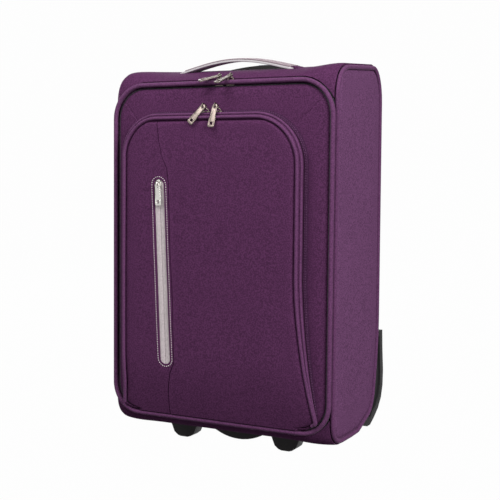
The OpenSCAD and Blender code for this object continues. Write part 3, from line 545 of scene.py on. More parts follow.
def new_finish(name):
    """An empty material, its shader node and a Wire to start from."""
    finish = bpy.data.materials.new(name)
    finish.use_nodes = True
    shader = finish.node_tree.nodes["Principled BSDF"]
    return finish, shader, Wire(finish.node_tree)


def feed(shader, **sockets):
    """Sets or links the shader's sockets, named with underscores for spaces."""
    for name, value in sockets.items():
        socket = shader.inputs[name.replace("_", " ")]
        if isinstance(value, Wire):
            value.tree.links.new(value.socket, socket)
        else:
            socket.default_value = value


def linear(colour, share=1.0):
    """A display colour as the renderer needs it, darkened or lightened by a share."""
    return tuple(share * (c / 12.92 if c <= 0.04045 else ((c + 0.055) / 1.055) ** 2.4) for c in colour) + (1.0,)


def blended(start, share, dark, light):
    """A colour between two by a share."""
    return start.node("ShaderNodeMix", {"data_type": "RGBA"}, {"Factor": share, 6: dark, 7: light}, 2)


def bumped(start, height, strength, distance):
    """A Bump node's normal from a height."""
    return start.node("ShaderNodeBump", None, {"Height": height, "Strength": strength, "Distance": distance})


def cloud(start, place, scale, detail=3.0, stretch=(1, 1, 1)):
    """A noise from 0 to 1, stretched along the axes."""
    spread = start.node("ShaderNodeMapping", None, {"Vector": place, "Scale": stretch})
    return start.node("ShaderNodeTexNoise", None, {"Vector": spread, "Scale": scale, "Detail": detail})


def weave(start, place, facing, yarn):
    """A plain weave's height from 0 to 1, laid flat on whichever way the cloth faces."""
    axes = start.node("ShaderNodeSeparateXYZ", None, {0: place})
    normal = start.node("ShaderNodeSeparateXYZ", None, {0: facing})
    waves, sides = [], []
    for k in range(3):
        axis = Wire(start.tree, axes.socket.node.outputs[k])
        waves.append((axis * (math.pi / yarn)).math("SINE"))
        sides.append(Wire(start.tree, normal.socket.node.outputs[k]).math("ABSOLUTE") ** 4.0)
    total = sides[0] + sides[1] + sides[2]
    height = (waves[1] * waves[2] * sides[0] + waves[0] * waves[2] * sides[1] + waves[0] * waves[1] * sides[2])
    return height.math("DIVIDE", total) * 0.5 + 0.5


def woven(name, colour, yarn=0.9, roughness=0.9, sheen=0.0, contrast=0.16, depth=0.10, blotch=0.08):
    """Woven cloth: a fine plain weave with uneven, mottled yarns and soft blotches."""
    finish, shader, start = new_finish(name)
    place = start.node("ShaderNodeTexCoord", output=3)
    facing = Wire(start.tree, place.socket.node.outputs[1])
    threads = weave(start, place, facing, yarn * MM)
    slubs = cloud(start, place, 760, 2, (1, 1, 0.45)) * 0.5 + cloud(start, place, 760, 2, (0.45, 0.45, 1)) * 0.5
    grain = cloud(start, place, 640, 1)
    soft = cloud(start, place, 14, 4)
    tone = threads * 0.30 + slubs * 0.40 + grain * 0.30
    mottle = (slubs - 0.5) * 2.4 + (grain - 0.5) * 5.2 + (threads - 0.5) * 0.25
    share = mottle + (soft - 0.5) * (blotch * 5) + 0.5
    feed(shader,
         Base_Color=blended(start, share.math("MINIMUM", 1.0).math("MAXIMUM", 0.0),
                            linear(colour, 1 - contrast * 1.6), linear(colour, 1 + contrast * 1.6)),
         Roughness=roughness + (grain - 0.5) * 0.12,
         Normal=bumped(start, tone, 0.55, depth * MM * 2),
         Sheen_Weight=sheen, Sheen_Roughness=0.45, Specular_IOR_Level=0.03)
    return finish


def webbing(name, colour, rib=1.7):
    """Coarse ribbed webbing."""
    finish, shader, start = new_finish(name)
    place = start.node("ShaderNodeTexCoord", output=3)
    axes = start.node("ShaderNodeSeparateXYZ", None, {0: place})
    ribs = (axes * (2 * math.pi / (rib * MM))).math("SINE") * 0.5 + 0.5
    grain = cloud(start, place, 600, 3)
    tone = ribs * 0.55 + grain * 0.45
    feed(shader,
         Base_Color=blended(start, tone, linear(colour, 0.84), linear(colour, 1.08)),
         Roughness=0.74 + (grain - 0.5) * 0.15,
         Normal=bumped(start, tone, 0.6, 0.25 * MM),
         Sheen_Weight=0.1, Specular_IOR_Level=0.3)
    return finish


def moulded(name, colour, roughness=0.5, grain_size=700, depth=0.05, scuff=0.12):
    """Moulded plastic with a fine grain and a few dull scuffs."""
    finish, shader, start = new_finish(name)
    place = start.node("ShaderNodeTexCoord", output=3)
    grain = cloud(start, place, grain_size, 3)
    worn = (cloud(start, place, 38, 5) - 0.5).math("MAXIMUM", 0.0) * 2
    feed(shader,
         Base_Color=blended(start, worn * scuff + grain * 0.08, linear(colour), linear(colour, 1.9)),
         Roughness=roughness + (grain - 0.5) * 0.2 + worn * 0.15,
         Normal=bumped(start, grain, 0.35, depth * MM),
         Specular_IOR_Level=0.12)
    return finish


def plated(name, colour, roughness=0.26, brushed=(1, 1, 1)):
    """Plated or anodised metal with fine handling marks."""
    finish, shader, start = new_finish(name)
    place = start.node("ShaderNodeTexCoord", output=3)
    lines = cloud(start, place, 300, 4, brushed)
    worn = cloud(start, place, 90, 4)
    feed(shader,
         Base_Color=blended(start, worn, linear(colour, 0.86), linear(colour, 1.08)),
         Metallic=1.0,
         Roughness=roughness + (lines - 0.5) * 0.22 + (worn - 0.5) * 0.1,
         Normal=bumped(start, lines, 0.12, 0.05 * MM))
    return finish


def rubbery(name, colour):
    """Dull tyre rubber with dust in its grain."""
    finish, shader, start = new_finish(name)
    place = start.node("ShaderNodeTexCoord", output=3)
    grain = cloud(start, place, 500, 4)
    dust = (cloud(start, place, 55, 5) - 0.45).math("MAXIMUM", 0.0) * 1.6
    feed(shader,
         Base_Color=blended(start, dust, linear(colour), linear((0.30, 0.29, 0.29))),
         Roughness=0.72 + dust * 0.2,
         Normal=bumped(start, grain, 0.4, 0.12 * MM),
         Specular_IOR_Level=0.35)
    return finish


def netting(name, colour, cell=2.4):
    """Open mesh cloth: threads with see-through holes between them."""
    finish, shader, start = new_finish(name)
    place = start.node("ShaderNodeTexCoord", output=3)
    axes = start.node("ShaderNodeSeparateXYZ", None, {0: place})
    across = Wire(start.tree, axes.socket.node.outputs[0])
    upward = Wire(start.tree, axes.socket.node.outputs[2])
    turn = math.pi / (cell * MM)
    lattice = ((across * turn).math("SINE") * (upward * turn).math("SINE")).math("ABSOLUTE")
    grain = cloud(start, place, 900, 2)
    feed(shader,
         Base_Color=blended(start, grain, linear(colour, 0.8), linear(colour, 1.2)),
         Alpha=lattice.math("LESS_THAN", 0.42),
         Roughness=0.8)
    return finish


def seen_directly(start):
    """1 where the camera, a mirror or glass looks at the surface, and 0 where light bounces off it."""
    rays = start.node("ShaderNodeLightPath").socket.node.outputs
    share = Wire(start.tree, rays["Is Camera Ray"])
    for other in ("Is Glossy Ray", "Is Transmission Ray"):
        share = share.math("MAXIMUM", Wire(start.tree, rays[other]))
    return share


def pale_stage(name, colour):
    """Pale paper that the camera and any mirror or glass see as almost white, with the shadows on it."""
    finish, shader, start = new_finish(name)
    feed(shader, Base_Color=linear(colour), Roughness=0.9, Specular_IOR_Level=0.1)
    lit = Wire(start.tree, shader.outputs[0])
    white = start.node("ShaderNodeEmission", None, {"Color": (1, 1, 1, 1), "Strength": 1.0})
    both = start.node("ShaderNodeMixShader", None, {0: seen_directly(start) * 0.985, 1: lit, 2: white})
    start.tree.links.new(both.socket, finish.node_tree.nodes["Material Output"].inputs["Surface"])
    return finish


# ---- fabric ----

def skin_points(profile, x, share):
    """Points of the wrap at x, pushed out a little where the padding fills it."""
    count = len(profile)
    result = []
    for i, point in enumerate(profile):
        along = (profile[min(i + 1, count - 1)] - profile[max(i - 1, 0)]).normalized()
        out = Vector((along.y, -along.x))
        full = (1 - share ** 6) * ease(i, 0, 8) * ease(count - 1 - i, 0, 10)
        puff = full * (0.5 + wobble((x, *point), 70, 0.6)) - 0.7 * share ** 30
        result.append(Vector((x, *(point + out * puff))))
    return result


def panel(outline, centre, lift, rings=14):
    """A closed panel from its outline in a plane to its middle. lift(point, inside) places each point."""
    depths = (0, 1.2, 2.4, 3.3, 4.1, 4.9, 5.8, 7.2, 9.5, 13, 18)
    rows = [[lift(q, d) for q in offset(outline, d)] for d in depths]
    inner = offset(outline, depths[-1])
    centre = Vector(centre)
    for k in range(1, rings + 1):
        share = 1 - k / rings
        rows.append([lift(mix(centre, q, share), depths[-1] + (1 - share) * (q - centre).length) for q in inner])
    bm = loft(rows)
    bmesh.ops.remove_doubles(bm, verts=bm.verts, dist=0.02)
    return bm


def side_face(sign):
    """Places the side panel's points: a crease along the piping, then gently padded."""
    def lift(q, inside):
        crease = 3.4 * math.exp(-max(0.0, inside - 4.6) / 2.4)
        puff = 1.1 * ease(inside, 0, 60) + wobble((q.x, q.y, sign * 40), 85, 0.8 * ease(inside, 4, 30))
        return Vector((sign * (SIDE_X - 0.9 - crease + puff), q.x, q.y))
    return lift


def lid_face(q, inside):
    """Places the lid's points: a crease along the piping, a soft roll, then flat behind the pocket."""
    crease = 4.6 * math.exp(-max(0.0, inside - 4.2) / 2.0)
    sunk = 2.2 * (1 - ease(inside, 6, 30))
    roll = 0.9 * ease(inside, 5, 9) * (1 - ease(inside, 13, 24))
    return Vector((q.x, 0.1 + crease + sunk - roll + wobble((q.x, 9, q.y), 50, 0.25 * ease(inside, 4, 14)), q.y))


# Points (z, x) that the curved seam down the pocket's face runs through.
SEAM_KNOTS = ((56, -73), (85, -71), (105, -67), (124, -59.6), (196, -61), (310, -67), (375, -69), (393, -71),
              (416, -81), (438, -86), (461, -89))


def seam_x(z):
    """The x of the curved seam down the pocket's face."""
    if z <= SEAM_KNOTS[0][0]:
        return SEAM_KNOTS[0][1]
    for (z0, x0), (z1, x1) in zip(SEAM_KNOTS, SEAM_KNOTS[1:]):
        if z <= z1:
            return mix(x0, x1, ease(z, z0, z1) * 0.5 + (z - z0) / (z1 - z0) * 0.5)
    return SEAM_KNOTS[-1][1]


def zip_x(z):
    """The middle of the side zip at a height."""
    return centre_of("side_zip_tape", 0) - (z - centre_of("side_zip_tape", 2)) * math.tan(SIDE_ZIP_LEAN)


def zip_half(z, grow=0.0):
    """Half the side zip's opening at a height, round at both ends."""
    top, foot, half = SIDE_ZIP_TOP + grow, SIDE_ZIP_LOW - grow, SIDE_ZIP_HALF + grow
    if z >= top or z <= foot:
        return 0.0
    head = min(1.0, (top - z) / half)
    tail = min(1.0, (z - foot) / (half * 0.9))
    return half * min(math.sqrt(1 - (1 - head) ** 2), math.sqrt(1 - (1 - tail) ** 2) ** 1.15)


def zip_outline(grow):
    """The side zip's opening as (x, z), moved outwards."""
    top, foot = SIDE_ZIP_TOP + grow, SIDE_ZIP_LOW - grow
    steps = [mix(foot, top, 0.5 - 0.5 * math.cos(math.pi * i / 90)) for i in range(91)]
    right = [Vector((zip_x(z) + zip_half(z, grow), z)) for z in steps]
    left = [Vector((zip_x(z) - zip_half(z, grow), z)) for z in steps[1:-1][::-1]]
    return right + left


def pocket_depth(x, z, edges):
    """Depth of the padded face of the pocket at a point."""
    left, right, top = edges
    inside = max(0.0, min(x - left, right - x, top - z))
    crease = 3.9 * math.exp(-max(0.0, inside - 1.5) / 1.8)
    crown = 1.1 * ease(inside, 0, 55) * ease(z, POCKET_LOW, POCKET_LOW + 120)
    ripple = wobble((x, 3, z), 60, 0.5 * ease(inside, 5, 30))
    pucker = 0.22 * math.exp(-inside / 9) * noise.noise(Vector((x, z, 0)) / 7)
    return face_y(z) + crease - crown + ripple + pucker


EDGE_STEPS = (0, 0.7, 1.4, 2.1, 2.9, 4.0, 6.0)


def pocket_face():
    """The pocket's face, with its side zip's opening and the curved seam beside it."""
    right_side, left_side = face_outline(1), face_outline(-1)
    top = right_side[-1].y
    rows = sorted(set([round(mix(POCKET_LOW, top, k / 104), 2) for k in range(105)]
                      + [round(SIDE_ZIP_TOP - s, 2) for s in (-0.6, 0.15, 0.6, 1.3, 2.2, 3.4, 5, 6.8)]
                      + [round(SIDE_ZIP_LOW + s, 2) for s in (-0.6, 0.15, 0.7, 1.6, 2.8, 4.2, 6)]
                      + [round(top - s, 2) for s in (0.15, 0.7, 1.4, 2.1, 2.9, 4.0, 5.6)]
                      + [round(POCKET_LOW + s, 2) for s in (0.2, 0.6, 1.3, 2.3, 3.4, 6.2)]))
    grid = []
    for z in rows:
        left, right, sewn = reach_at(left_side, z), reach_at(right_side, z), seam_x(z)
        sewn = max(sewn, left + 3)
        beyond = max(0.0, z - SIDE_ZIP_TOP, SIDE_ZIP_LOW - z)
        middle = mix(zip_x(z), mix(left, sewn, 0.6), ease(beyond, 0, 26))
        half = max(zip_half(z), min(0.5, (sewn - left) * 0.1))
        rim = [d * min(1.0, (sewn - left) / 30) for d in EDGE_STEPS]
        xs = ([left + d for d in rim]
              + [mix(left + rim[-1], middle - half, k / 10) for k in range(1, 11)]
              + [mix(middle - half, middle + half, k / 4) for k in range(1, 5)]
              + [mix(middle + half, sewn - 1.1, k / 4) for k in range(1, 5)]
              + [sewn, sewn + 1.1] + [mix(sewn + 1.1, right - rim[-1], k / 46) for k in range(1, 47)]
              + [right - d for d in rim[-2::-1]])
        row = []
        for x in xs:
            depth = pocket_depth(x, z, (left, right, top))
            if x == sewn:
                depth += 1.7
            elif sewn < x < sewn + 2:
                depth -= 0.5
            row.append(Vector((x, depth, z)))
        grid.append(row)
    bm = loft(grid, closed=False)
    hole = [f for f in bm.faces if SIDE_ZIP_LOW < f.calc_center_median().z < SIDE_ZIP_TOP
            and abs(f.calc_center_median().x - zip_x(f.calc_center_median().z)) < zip_half(f.calc_center_median().z)]
    bmesh.ops.delete(bm, geom=hole, context="FACES")
    rim = [e for e in bm.edges if e.is_boundary and beside_zip(e)]
    made = bmesh.ops.extrude_edge_only(bm, edges=rim)["geom"]
    bmesh.ops.translate(bm, vec=(0, 2.6, 0), verts=[v for v in made if isinstance(v, bmesh.types.BMVert)])
    return bm


def beside_zip(edge):
    """True if an edge lies on the rim of the side zip's opening."""
    centre = (edge.verts[0].co + edge.verts[1].co) / 2
    return SIDE_ZIP_LOW - 2 < centre.z < SIDE_ZIP_TOP + 2 and abs(centre.x - zip_x(centre.z)) < SIDE_ZIP_HALF + 1


def edge_point(outer, inner, inward, depth):
    """A point of the pocket's edge, inward from its outline and at a depth, both as at its full height."""
    flat = mix(outer, inner, inward / SHOULDER)
    return Vector((flat.x, depth * face_y(flat.y) / POCKET_FACE_Y, flat.y))


def edge_row(inward, depth, lowest=0.0):
    """A line along the pocket's edge, from its right foot over the top to its left foot."""
    path = []
    for side in (1, -1):
        half = [edge_point(a, b, inward, depth) for a, b in zip(pocket_side(side, 0), face_outline(side))]
        half = [p for p in half if p.z >= lowest]
        path += half if side > 0 else half[::-1]
    return path


def edge_path(inward, depth, lowest=0.0, gap=3.2):
    """The same line with its points evenly spaced."""
    path = edge_row(inward, depth, lowest)
    return spaced([p for p, q in zip(path, path[1:]) if (p - q).length > 0.01] + path[-1:], gap)


def outward(point):
    """Which way the pocket's edge faces at a point, in X and Z."""
    centre = Vector((0, 0, min(max(point.z, 150), POCKET_TOP - 90)))
    across = point.x - math.copysign(min(abs(point.x), 60), point.x)
    return Vector((across, 0, max(0.0, point.z - centre.z) + 1e-3)).normalized()


def edge_normal(point):
    """Which way the sloping band round the pocket faces."""
    return outward(point) * 0.7 + Vector((0, -0.7, 0))


def outline_path(outline, depth, gap=3.2):
    """A closed outline in X and Z, set at a depth."""
    return [Vector((p.x, depth, p.y)) for p in spaced(outline, gap, True)]


def above(points, height):
    """The stretch of a closed path that lies above a height, in order."""
    count = len(points)
    start = next(i for i in range(count) if points[i].z >= height and points[i - 1].z < height)
    turned_points = points[start:] + points[:start]
    return [p for p in turned_points if p.z >= height]


# ---- settings ----

PURPLE = (0.333, 0.184, 0.319)
# The side panels' purple: the panel cloth made lighter and greyer, which paints in the stronger light and the grazing
# sheen that the sides get.
SIDE_PURPLE_PAINTED_LIGHT = (0.424, 0.271, 0.415)
LILAC = (0.81, 0.765, 0.775)


def colour_setting(name, description, default):
    """A colour that the user can change."""
    return bpy.props.FloatVectorProperty(name=name, description=description, default=default, min=0, max=1,
                                         subtype="COLOR_GAMMA")


class SuitcaseSettings(bpy.types.PropertyGroup):
    """Sizes and colours of the suitcase's visible pieces."""

    panel_colour: colour_setting("Panel Colour", "Cloth of the lid, the pocket and the wrap", PURPLE)
    # Painted light: the side colour is lighter and greyer than the panel colour, standing for the sides' stronger light
    # and grazing sheen.
    side_colour_painted_light: colour_setting("Side Colour", "Cloth of the two side panels", SIDE_PURPLE_PAINTED_LIGHT)
    # The piping colour is the tape's purple made lighter: partly the tape's own tone, partly a painted highlight on the
    # round cords.
    piping_colour_and_highlight: colour_setting("Piping Colour", "Tape that covers the piping", (0.40, 0.242, 0.388))
    trim_colour: colour_setting("Trim Colour", "Carry handle, side zip and its stitching", LILAC)
    chain_colour: colour_setting("Chain Colour", "Tape and coil of the purple zips", (0.16, 0.09, 0.15))
    metal_colour: colour_setting("Metal Colour", "Plated sliders and pulls", (0.50, 0.455, 0.43))
    plastic_colour: colour_setting("Plastic Colour", "Feet, bottom grip, tray and handle grip", (0.115, 0.105, 0.112))
    stitch_length: bpy.props.FloatProperty(
        name="Stitch Length", description="Length of one stitch", default=1.9 * MM, min=0.001, max=0.004,
        subtype="DISTANCE", unit="LENGTH")
    stitch_pitch: bpy.props.FloatProperty(
        name="Stitch Pitch", description="Distance from one stitch to the next", default=2.7 * MM, min=0.0015,
        max=0.006, subtype="DISTANCE", unit="LENGTH")
    tooth_pitch: bpy.props.FloatProperty(
        name="Coil Pitch", description="Distance between two turns of a zip's coil", default=1.5 * MM,
        min=0.001, max=0.003, subtype="DISTANCE", unit="LENGTH")


def settings():
    """The scene's suitcase settings."""
    return bpy.context.scene.suitcase


def stitches(path, normals, closed=False, size=(0.55, 0.35), pitch=None):
    """A row of stitches along a path."""
    gap = pitch or settings().stitch_pitch / MM
    length = min(settings().stitch_length / MM, gap * 0.55)
    return marks(path, normals, gap, (length, *size), closed)


def finish_named(kind):
    """One of the suitcase's finishes, made the first time it is asked for."""
    name = f"{kind}_finish"
    if name in bpy.data.materials:
        return bpy.data.materials[name]
    s = settings()
    makers = {
        "panel_cloth": lambda: woven(name, s.panel_colour),
        # The side cloth's lighter, greyer tone is painted light.
        "side_cloth_painted_light": lambda: woven(name, s.side_colour_painted_light, yarn=1.0, blotch=0.11),
        # The piping tape's lighter tone is partly a painted highlight on its round cords.
        "piping_tape_and_highlight": lambda: woven(name, s.piping_colour_and_highlight, yarn=0.7, roughness=0.7, sheen=0.06, contrast=0.12),
        "zip_tape": lambda: woven(name, s.chain_colour, yarn=0.6, contrast=0.12),
        "coil": lambda: moulded(name, tuple(c * 1.1 for c in s.chain_colour), 0.38, 500, 0.03),
        "panel_thread": lambda: woven(name, tuple(c * 0.72 for c in s.panel_colour), yarn=0.4, roughness=0.6),
        "pale_tape": lambda: woven(name, s.trim_colour, yarn=0.6, roughness=0.55, sheen=0.05, contrast=0.06),
        "pale_thread": lambda: woven(name, tuple(c * 1.14 for c in s.trim_colour), yarn=0.4, contrast=0.08),
        "strap_webbing": lambda: webbing(name, (0.80, 0.78, 0.79)),
        "strap_edge": lambda: webbing(name, (0.60, 0.53, 0.56)),
        "black_webbing": lambda: webbing(name, (0.12, 0.12, 0.13)),
        "lining_cloth": lambda: woven(name, (0.27, 0.26, 0.28), yarn=0.5, roughness=0.6, sheen=0.25),
        "pocket_netting": lambda: netting(name, (0.10, 0.10, 0.11)),
        "black_plastic": lambda: moulded(name, s.plastic_colour, 0.48),
        "housing_plastic": lambda: moulded(name, (0.13, 0.125, 0.13), 0.6, 600, 0.07),
        "tube_metal": lambda: plated(name, (0.66, 0.67, 0.69), 0.3, (1, 1, 0.03)),
        "button_plastic": lambda: moulded(name, (0.55, 0.55, 0.58), 0.3),
        "wire_steel": lambda: plated(name, (0.55, 0.55, 0.57), 0.38),
        "axle_steel": lambda: plated(name, (0.62, 0.62, 0.64), 0.3),
        "plated_metal": lambda: plated(name, s.metal_colour, 0.28),
        "bright_metal": lambda: plated(name, (0.82, 0.81, 0.79), 0.2),
        "band_tape": lambda: woven(name, (0.25, 0.14, 0.245), yarn=0.6, contrast=0.14),
        "ridge_thread": lambda: woven(name, (0.43, 0.29, 0.42), yarn=0.4, roughness=0.6),
        "hub_plastic": lambda: moulded(name, (0.44, 0.44, 0.46), 0.42),
        "tyre_rubber": lambda: rubbery(name, (0.07, 0.07, 0.075)),
        "board": lambda: moulded(name, (0.11, 0.11, 0.12), 0.7, 200, 0.15),
    }
    return makers[kind]()


def piece(name, bm, finish, body, slot, *stands_for):
    """A finished piece in one of the suitcase's finishes."""
    return finished(name, bm, finish_named(finish), body, slot, stands_for)


def softened(name, node, radius, finish, body, slot, segments=2):
    """A moulded copy of a CAD node with its sharp edges rounded."""
    bm = bmesh.new()
    bm.from_mesh(NODES[node].data)
    bmesh.ops.remove_doubles(bm, verts=bm.verts, dist=2e-5)
    bmesh.ops.dissolve_limit(bm, angle_limit=math.radians(1), verts=bm.verts, edges=bm.edges)
    if radius:
        sharp = [e for e in bm.edges if len(e.link_faces) == 2 and e.calc_face_angle() > math.radians(35)]
        bmesh.ops.bevel(bm, geom=sharp, offset=radius * MM, segments=segments, profile=0.5, affect="EDGES",
                        offset_type="OFFSET", material=-1, clamp_overlap=True)
    bmesh.ops.translate(bm, vec=(0, -FRONT * MM, 0), verts=bm.verts)
    bmesh.ops.scale(bm, vec=(1 / MM, 1 / MM, 1 / MM), verts=bm.verts)
    return finished(name, bm, finish_named(finish), body, slot, (node,), flip_check=False)


def refinished(node, finish):
    """Gives a CAD node that is shown as it is a finish."""
    mesh = NODES[node].data
    if not mesh.materials:
        mesh.materials.append(None)
    for slot in NODES[node].material_slots:
        slot.material = finish_named(finish)


# ---- pieces ----

def skin_path(xs, along, from_front=True):
    """A line across the wrap, a distance from its upper or lower front edge."""
    path = []
    for x in xs:
        points = case_profile(x)[0]
        points = points[::-1] if from_front else points
        left = along
        for a, b in zip(points, points[1:]):
            step = (b - a).length
            if step >= left:
                path.append(Vector((x, *mix(a, b, left / step))))
                break
            left -= step
    return path


class SUITCASE_OT_wrap(bpy.types.Operator):
    """Makes the cloth that runs under the case, up its back and over its top"""

    bl_idname = "suitcase.wrap"
    bl_label = "Wrap"

    def execute(self, context):
        half = [0, 16, 32, 46, 58, 67, 73, WINDOW_X, 80, 88, 98, 108, 118, 128, 137, 145, 151, 156, 160, 163, 165.6,
                WRAP_X]
        xs = [-x for x in half[:0:-1]] + half
        rows = [skin_points(case_profile(x)[0], x, abs(x) / WRAP_X) for x in xs]
        bm = loft(rows, closed=False)
        opening = window_side()
        floor_z, mouth_y = opening[0].y, opening[-1].x
        window = [f for f in bm.faces if abs(f.calc_center_median().x) < WINDOW_X
                  and f.calc_center_median().z > floor_z - 0.5 and f.calc_center_median().y > mouth_y]
        bmesh.ops.delete(bm, geom=window, context="FACES")
        wrap = piece("wrap", thickened(bm, -2.8), "panel_cloth", "case", "wrap_fabric",
                     "top_panel", "back_panel", "bottom_panel")
        bind = cord(window_rim(), 1.1, closed=True, sides=8)
        piece("tray_binding", bind, "zip_tape", "case", "zip_tape")
        line = spaced(skin_path([mix(-118, 118, k / 60) for k in range(61)], 5.2), 4)
        piece("top_stitches", stitches(line, lambda p: Vector((0, -0.7, 0.7)), size=(0.5, 0.5)),
              "panel_thread", "case", "wrap_fabric")
        return {"FINISHED"}


def window_side():
    """The stretch of the wrap that the pull handle's opening takes up, as (y, z)."""
    points, (opening_at, mouth_at) = case_profile(WINDOW_X / 2)
    return points[opening_at:mouth_at + 1]


def window_rim():
    """The rim of the opening that the pull handle comes out of."""
    side = window_side()
    rim = [Vector((WINDOW_X, *p)) for p in side] + [Vector((-WINDOW_X, *p)) for p in side[::-1]]
    return spaced(rim, 4, True)


def case_edge():
    """The closed outline of the case's side, as (y, z)."""
    points = case_profile(WRAP_X)[0]
    return spaced([p for p, q in zip(points, points[1:]) if (p - q).length > 0.01] + points[-1:], 4.2, True)


class SUITCASE_OT_sides(bpy.types.Operator):
    """Makes the padded side panels and the piping round them"""

    bl_idname = "suitcase.sides"
    bl_label = "Side Panels"

    def execute(self, context):
        edge = offset(case_edge(), PIPING * 0.8)
        for word, sign in (("left", -1), ("right", 1)):
            bm = panel(edge, (93, 285), side_face(sign))
            backed(bm, (-sign * SIDE_PADDING, 0, 0))
            side = piece(f"side_{word}", bm, "side_cloth_painted_light", "case", "side_fabric", f"side_panel_{word}")
            line = [Vector((sign * (SIDE_X - PIPING), *p)) for p in offset(case_edge(), PIPING)]
            piece(f"side_piping_sewn_{word}", cord(line, PIPING, sides=16), "piping_tape_and_highlight", "case", "piping",
                  f"side_piping_{word}")
        return {"FINISHED"}


class SUITCASE_OT_lid(bpy.types.Operator):
    """Makes the zipped lid with its mitred seams and piping"""

    bl_idname = "suitcase.lid"
    bl_label = "Lid"

    def execute(self, context):
        bm = panel(spaced(lid_outline(PIPING * 0.9), 4.4, True), (0, 280), lid_face)
        seam(bm, (-153, 0, 489), (-130, 0, 462), 1.8)
        seam(bm, (159, 0, 492), (117, 0, 455), 1.7)
        bmesh.ops.recalc_face_normals(bm, faces=bm.faces)
        backed(bm, (0, LID_PADDING, 0))
        piece("lid_cloth", bm, "panel_cloth", "lid", "lid_fabric", "lid_panel")
        line = outline_path(lid_outline(PIPING), LID_T - PIPING)
        piece("lid_piping_sewn", cord(line, PIPING, sides=16), "piping_tape_and_highlight", "lid", "piping", "lid_piping")
        return {"FINISHED"}


class SUITCASE_OT_pocket(bpy.types.Operator):
    """Makes the front pocket: its face, its two corded ridges and the band that its zip is sewn to"""

    bl_idname = "suitcase.pocket"
    bl_label = "Front Pocket"

    def execute(self, context):
        face = pocket_face()
        bmesh.ops.recalc_face_normals(face, faces=face.faces)
        backed(face, (0, POCKET_PADDING, 0))
        front = piece("pocket_front", face, "panel_cloth", "pocket_flap", "pocket_fabric", "pocket_panel")
        rows = ((6.2, -6.6), (4.6, -6.8), (3.9, -8.4), (4.2, -10.2), (5.0, -12.6), (7.3, -13.0), (8.6, -14.6),
                (10.2, -16.0), (12.0, -16.2), (13.0, -15.4), (13.0, -13.8), (10.2, -13.6), (7.4, -11.4),
                (6.4, -9.5), (6.6, -7.6))
        piece("pocket_edge", loft([edge_row(*r) for r in rows + rows[:1]], closed=False), "panel_cloth",
              "pocket_flap", "pocket_fabric")
        for word, place, radius in (("outer", (5.3, -12.0), 1.8), ("inner", (10.2, -15.4), 2.2)):
            node = ("pocket_piping",) if word == "inner" else ()
            ridge = cord(edge_path(*place, RIDGE_LOW), radius, closed=False, sides=12)
            piece(f"pocket_ridge_{word}", ridge, "piping_tape_and_highlight", "pocket_flap", "piping", *node)
        band = ((0.1, 0.1), (0.3, -0.8), (1.1, -2.2), (3.7, -4.3), (4.5, -4.6), (5.2, -4.3), (5.2, -2.4), (3.0, 0.1))
        piece("pocket_zip_band", loft([edge_row(*r, ZIP_LOW - 26) for r in band + band[:1]], closed=False),
              "band_tape", "lid", "zip_tape", "pocket_zip_lid_tape")
        for k, (inward, depth) in enumerate(((1.6, -2.9), (3.3, -4.25))):
            line = edge_path(inward, depth, ZIP_LOW - 20)
            piece(f"band_stitches_{k + 1}", stitches(line, edge_normal, size=(0.6, 0.4), pitch=3.4), "ridge_thread",
                  "lid", "zip_tape")
        return {"FINISHED"}


class SUITCASE_OT_chains(bpy.types.Operator):
    """Makes the coils and tapes of the main zip and the pocket's zip"""

    bl_idname = "suitcase.chains"
    bl_label = "Zip Chains"

    def execute(self, context):
        pitch = settings().tooth_pitch / MM
        path = above(outline_path(lid_outline(3.0), SEAM_Y - 2.8, 2.0), ZIP_LOW)
        lid_half = [p - Vector((0, 0.7, 0)) for p in path]
        body_half = [p + Vector((0, 0.7, 0)) for p in path]
        tooth = (pitch * 0.42, 2.2, 1.5)
        piece("main_coil_lid", marks(lid_half, outward, pitch, tooth), "coil", "lid", "zip_tape")
        piece("main_coil_body", marks(body_half, outward, pitch, tooth, shift=0.5), "coil", "case", "zip_tape")
        for name, node, body, y0, y1 in (("main_tape_lid", "main_zip_lid_tape", "lid", 3.2, 5.3),
                                         ("main_tape_body", "main_zip_body_tape", "case", 7.1, 10.2)):
            rows = [outline_path(lid_outline(i), y) for i, y in ((3.4, y0), (3.4, y1), (4.4, y1), (4.4, y0), (3.4, y0))]
            piece(name, loft(same_count(rows)), "zip_tape", body, "zip_tape", node)
        flap = edge_path(4.9, -6.0, ZIP_LOW, 2.0)
        lid_side = edge_path(4.9, -5.2, ZIP_LOW, 2.0)
        tooth = (pitch * 0.42, 1.7, 1.4)
        piece("pocket_coil_lid", marks(lid_side, outward, pitch, tooth), "coil", "lid", "zip_tape")
        piece("pocket_coil_flap", marks(flap, outward, pitch, tooth, shift=0.5), "coil", "pocket_flap", "zip_tape",
              "pocket_zip_flap_tape")
        return {"FINISHED"}


def same_count(rows):
    """Rows of points brought to the same number of points."""
    count = len(rows[0])
    result = []
    for row in rows:
        lengths = [(b - a).length for a, b in zip(row, row[1:] + row[:1])]
        fresh = spaced(row, sum(lengths) / count, True)
        result.append(fresh[:count] + fresh[-1:] * (count - len(fresh)))
    return result


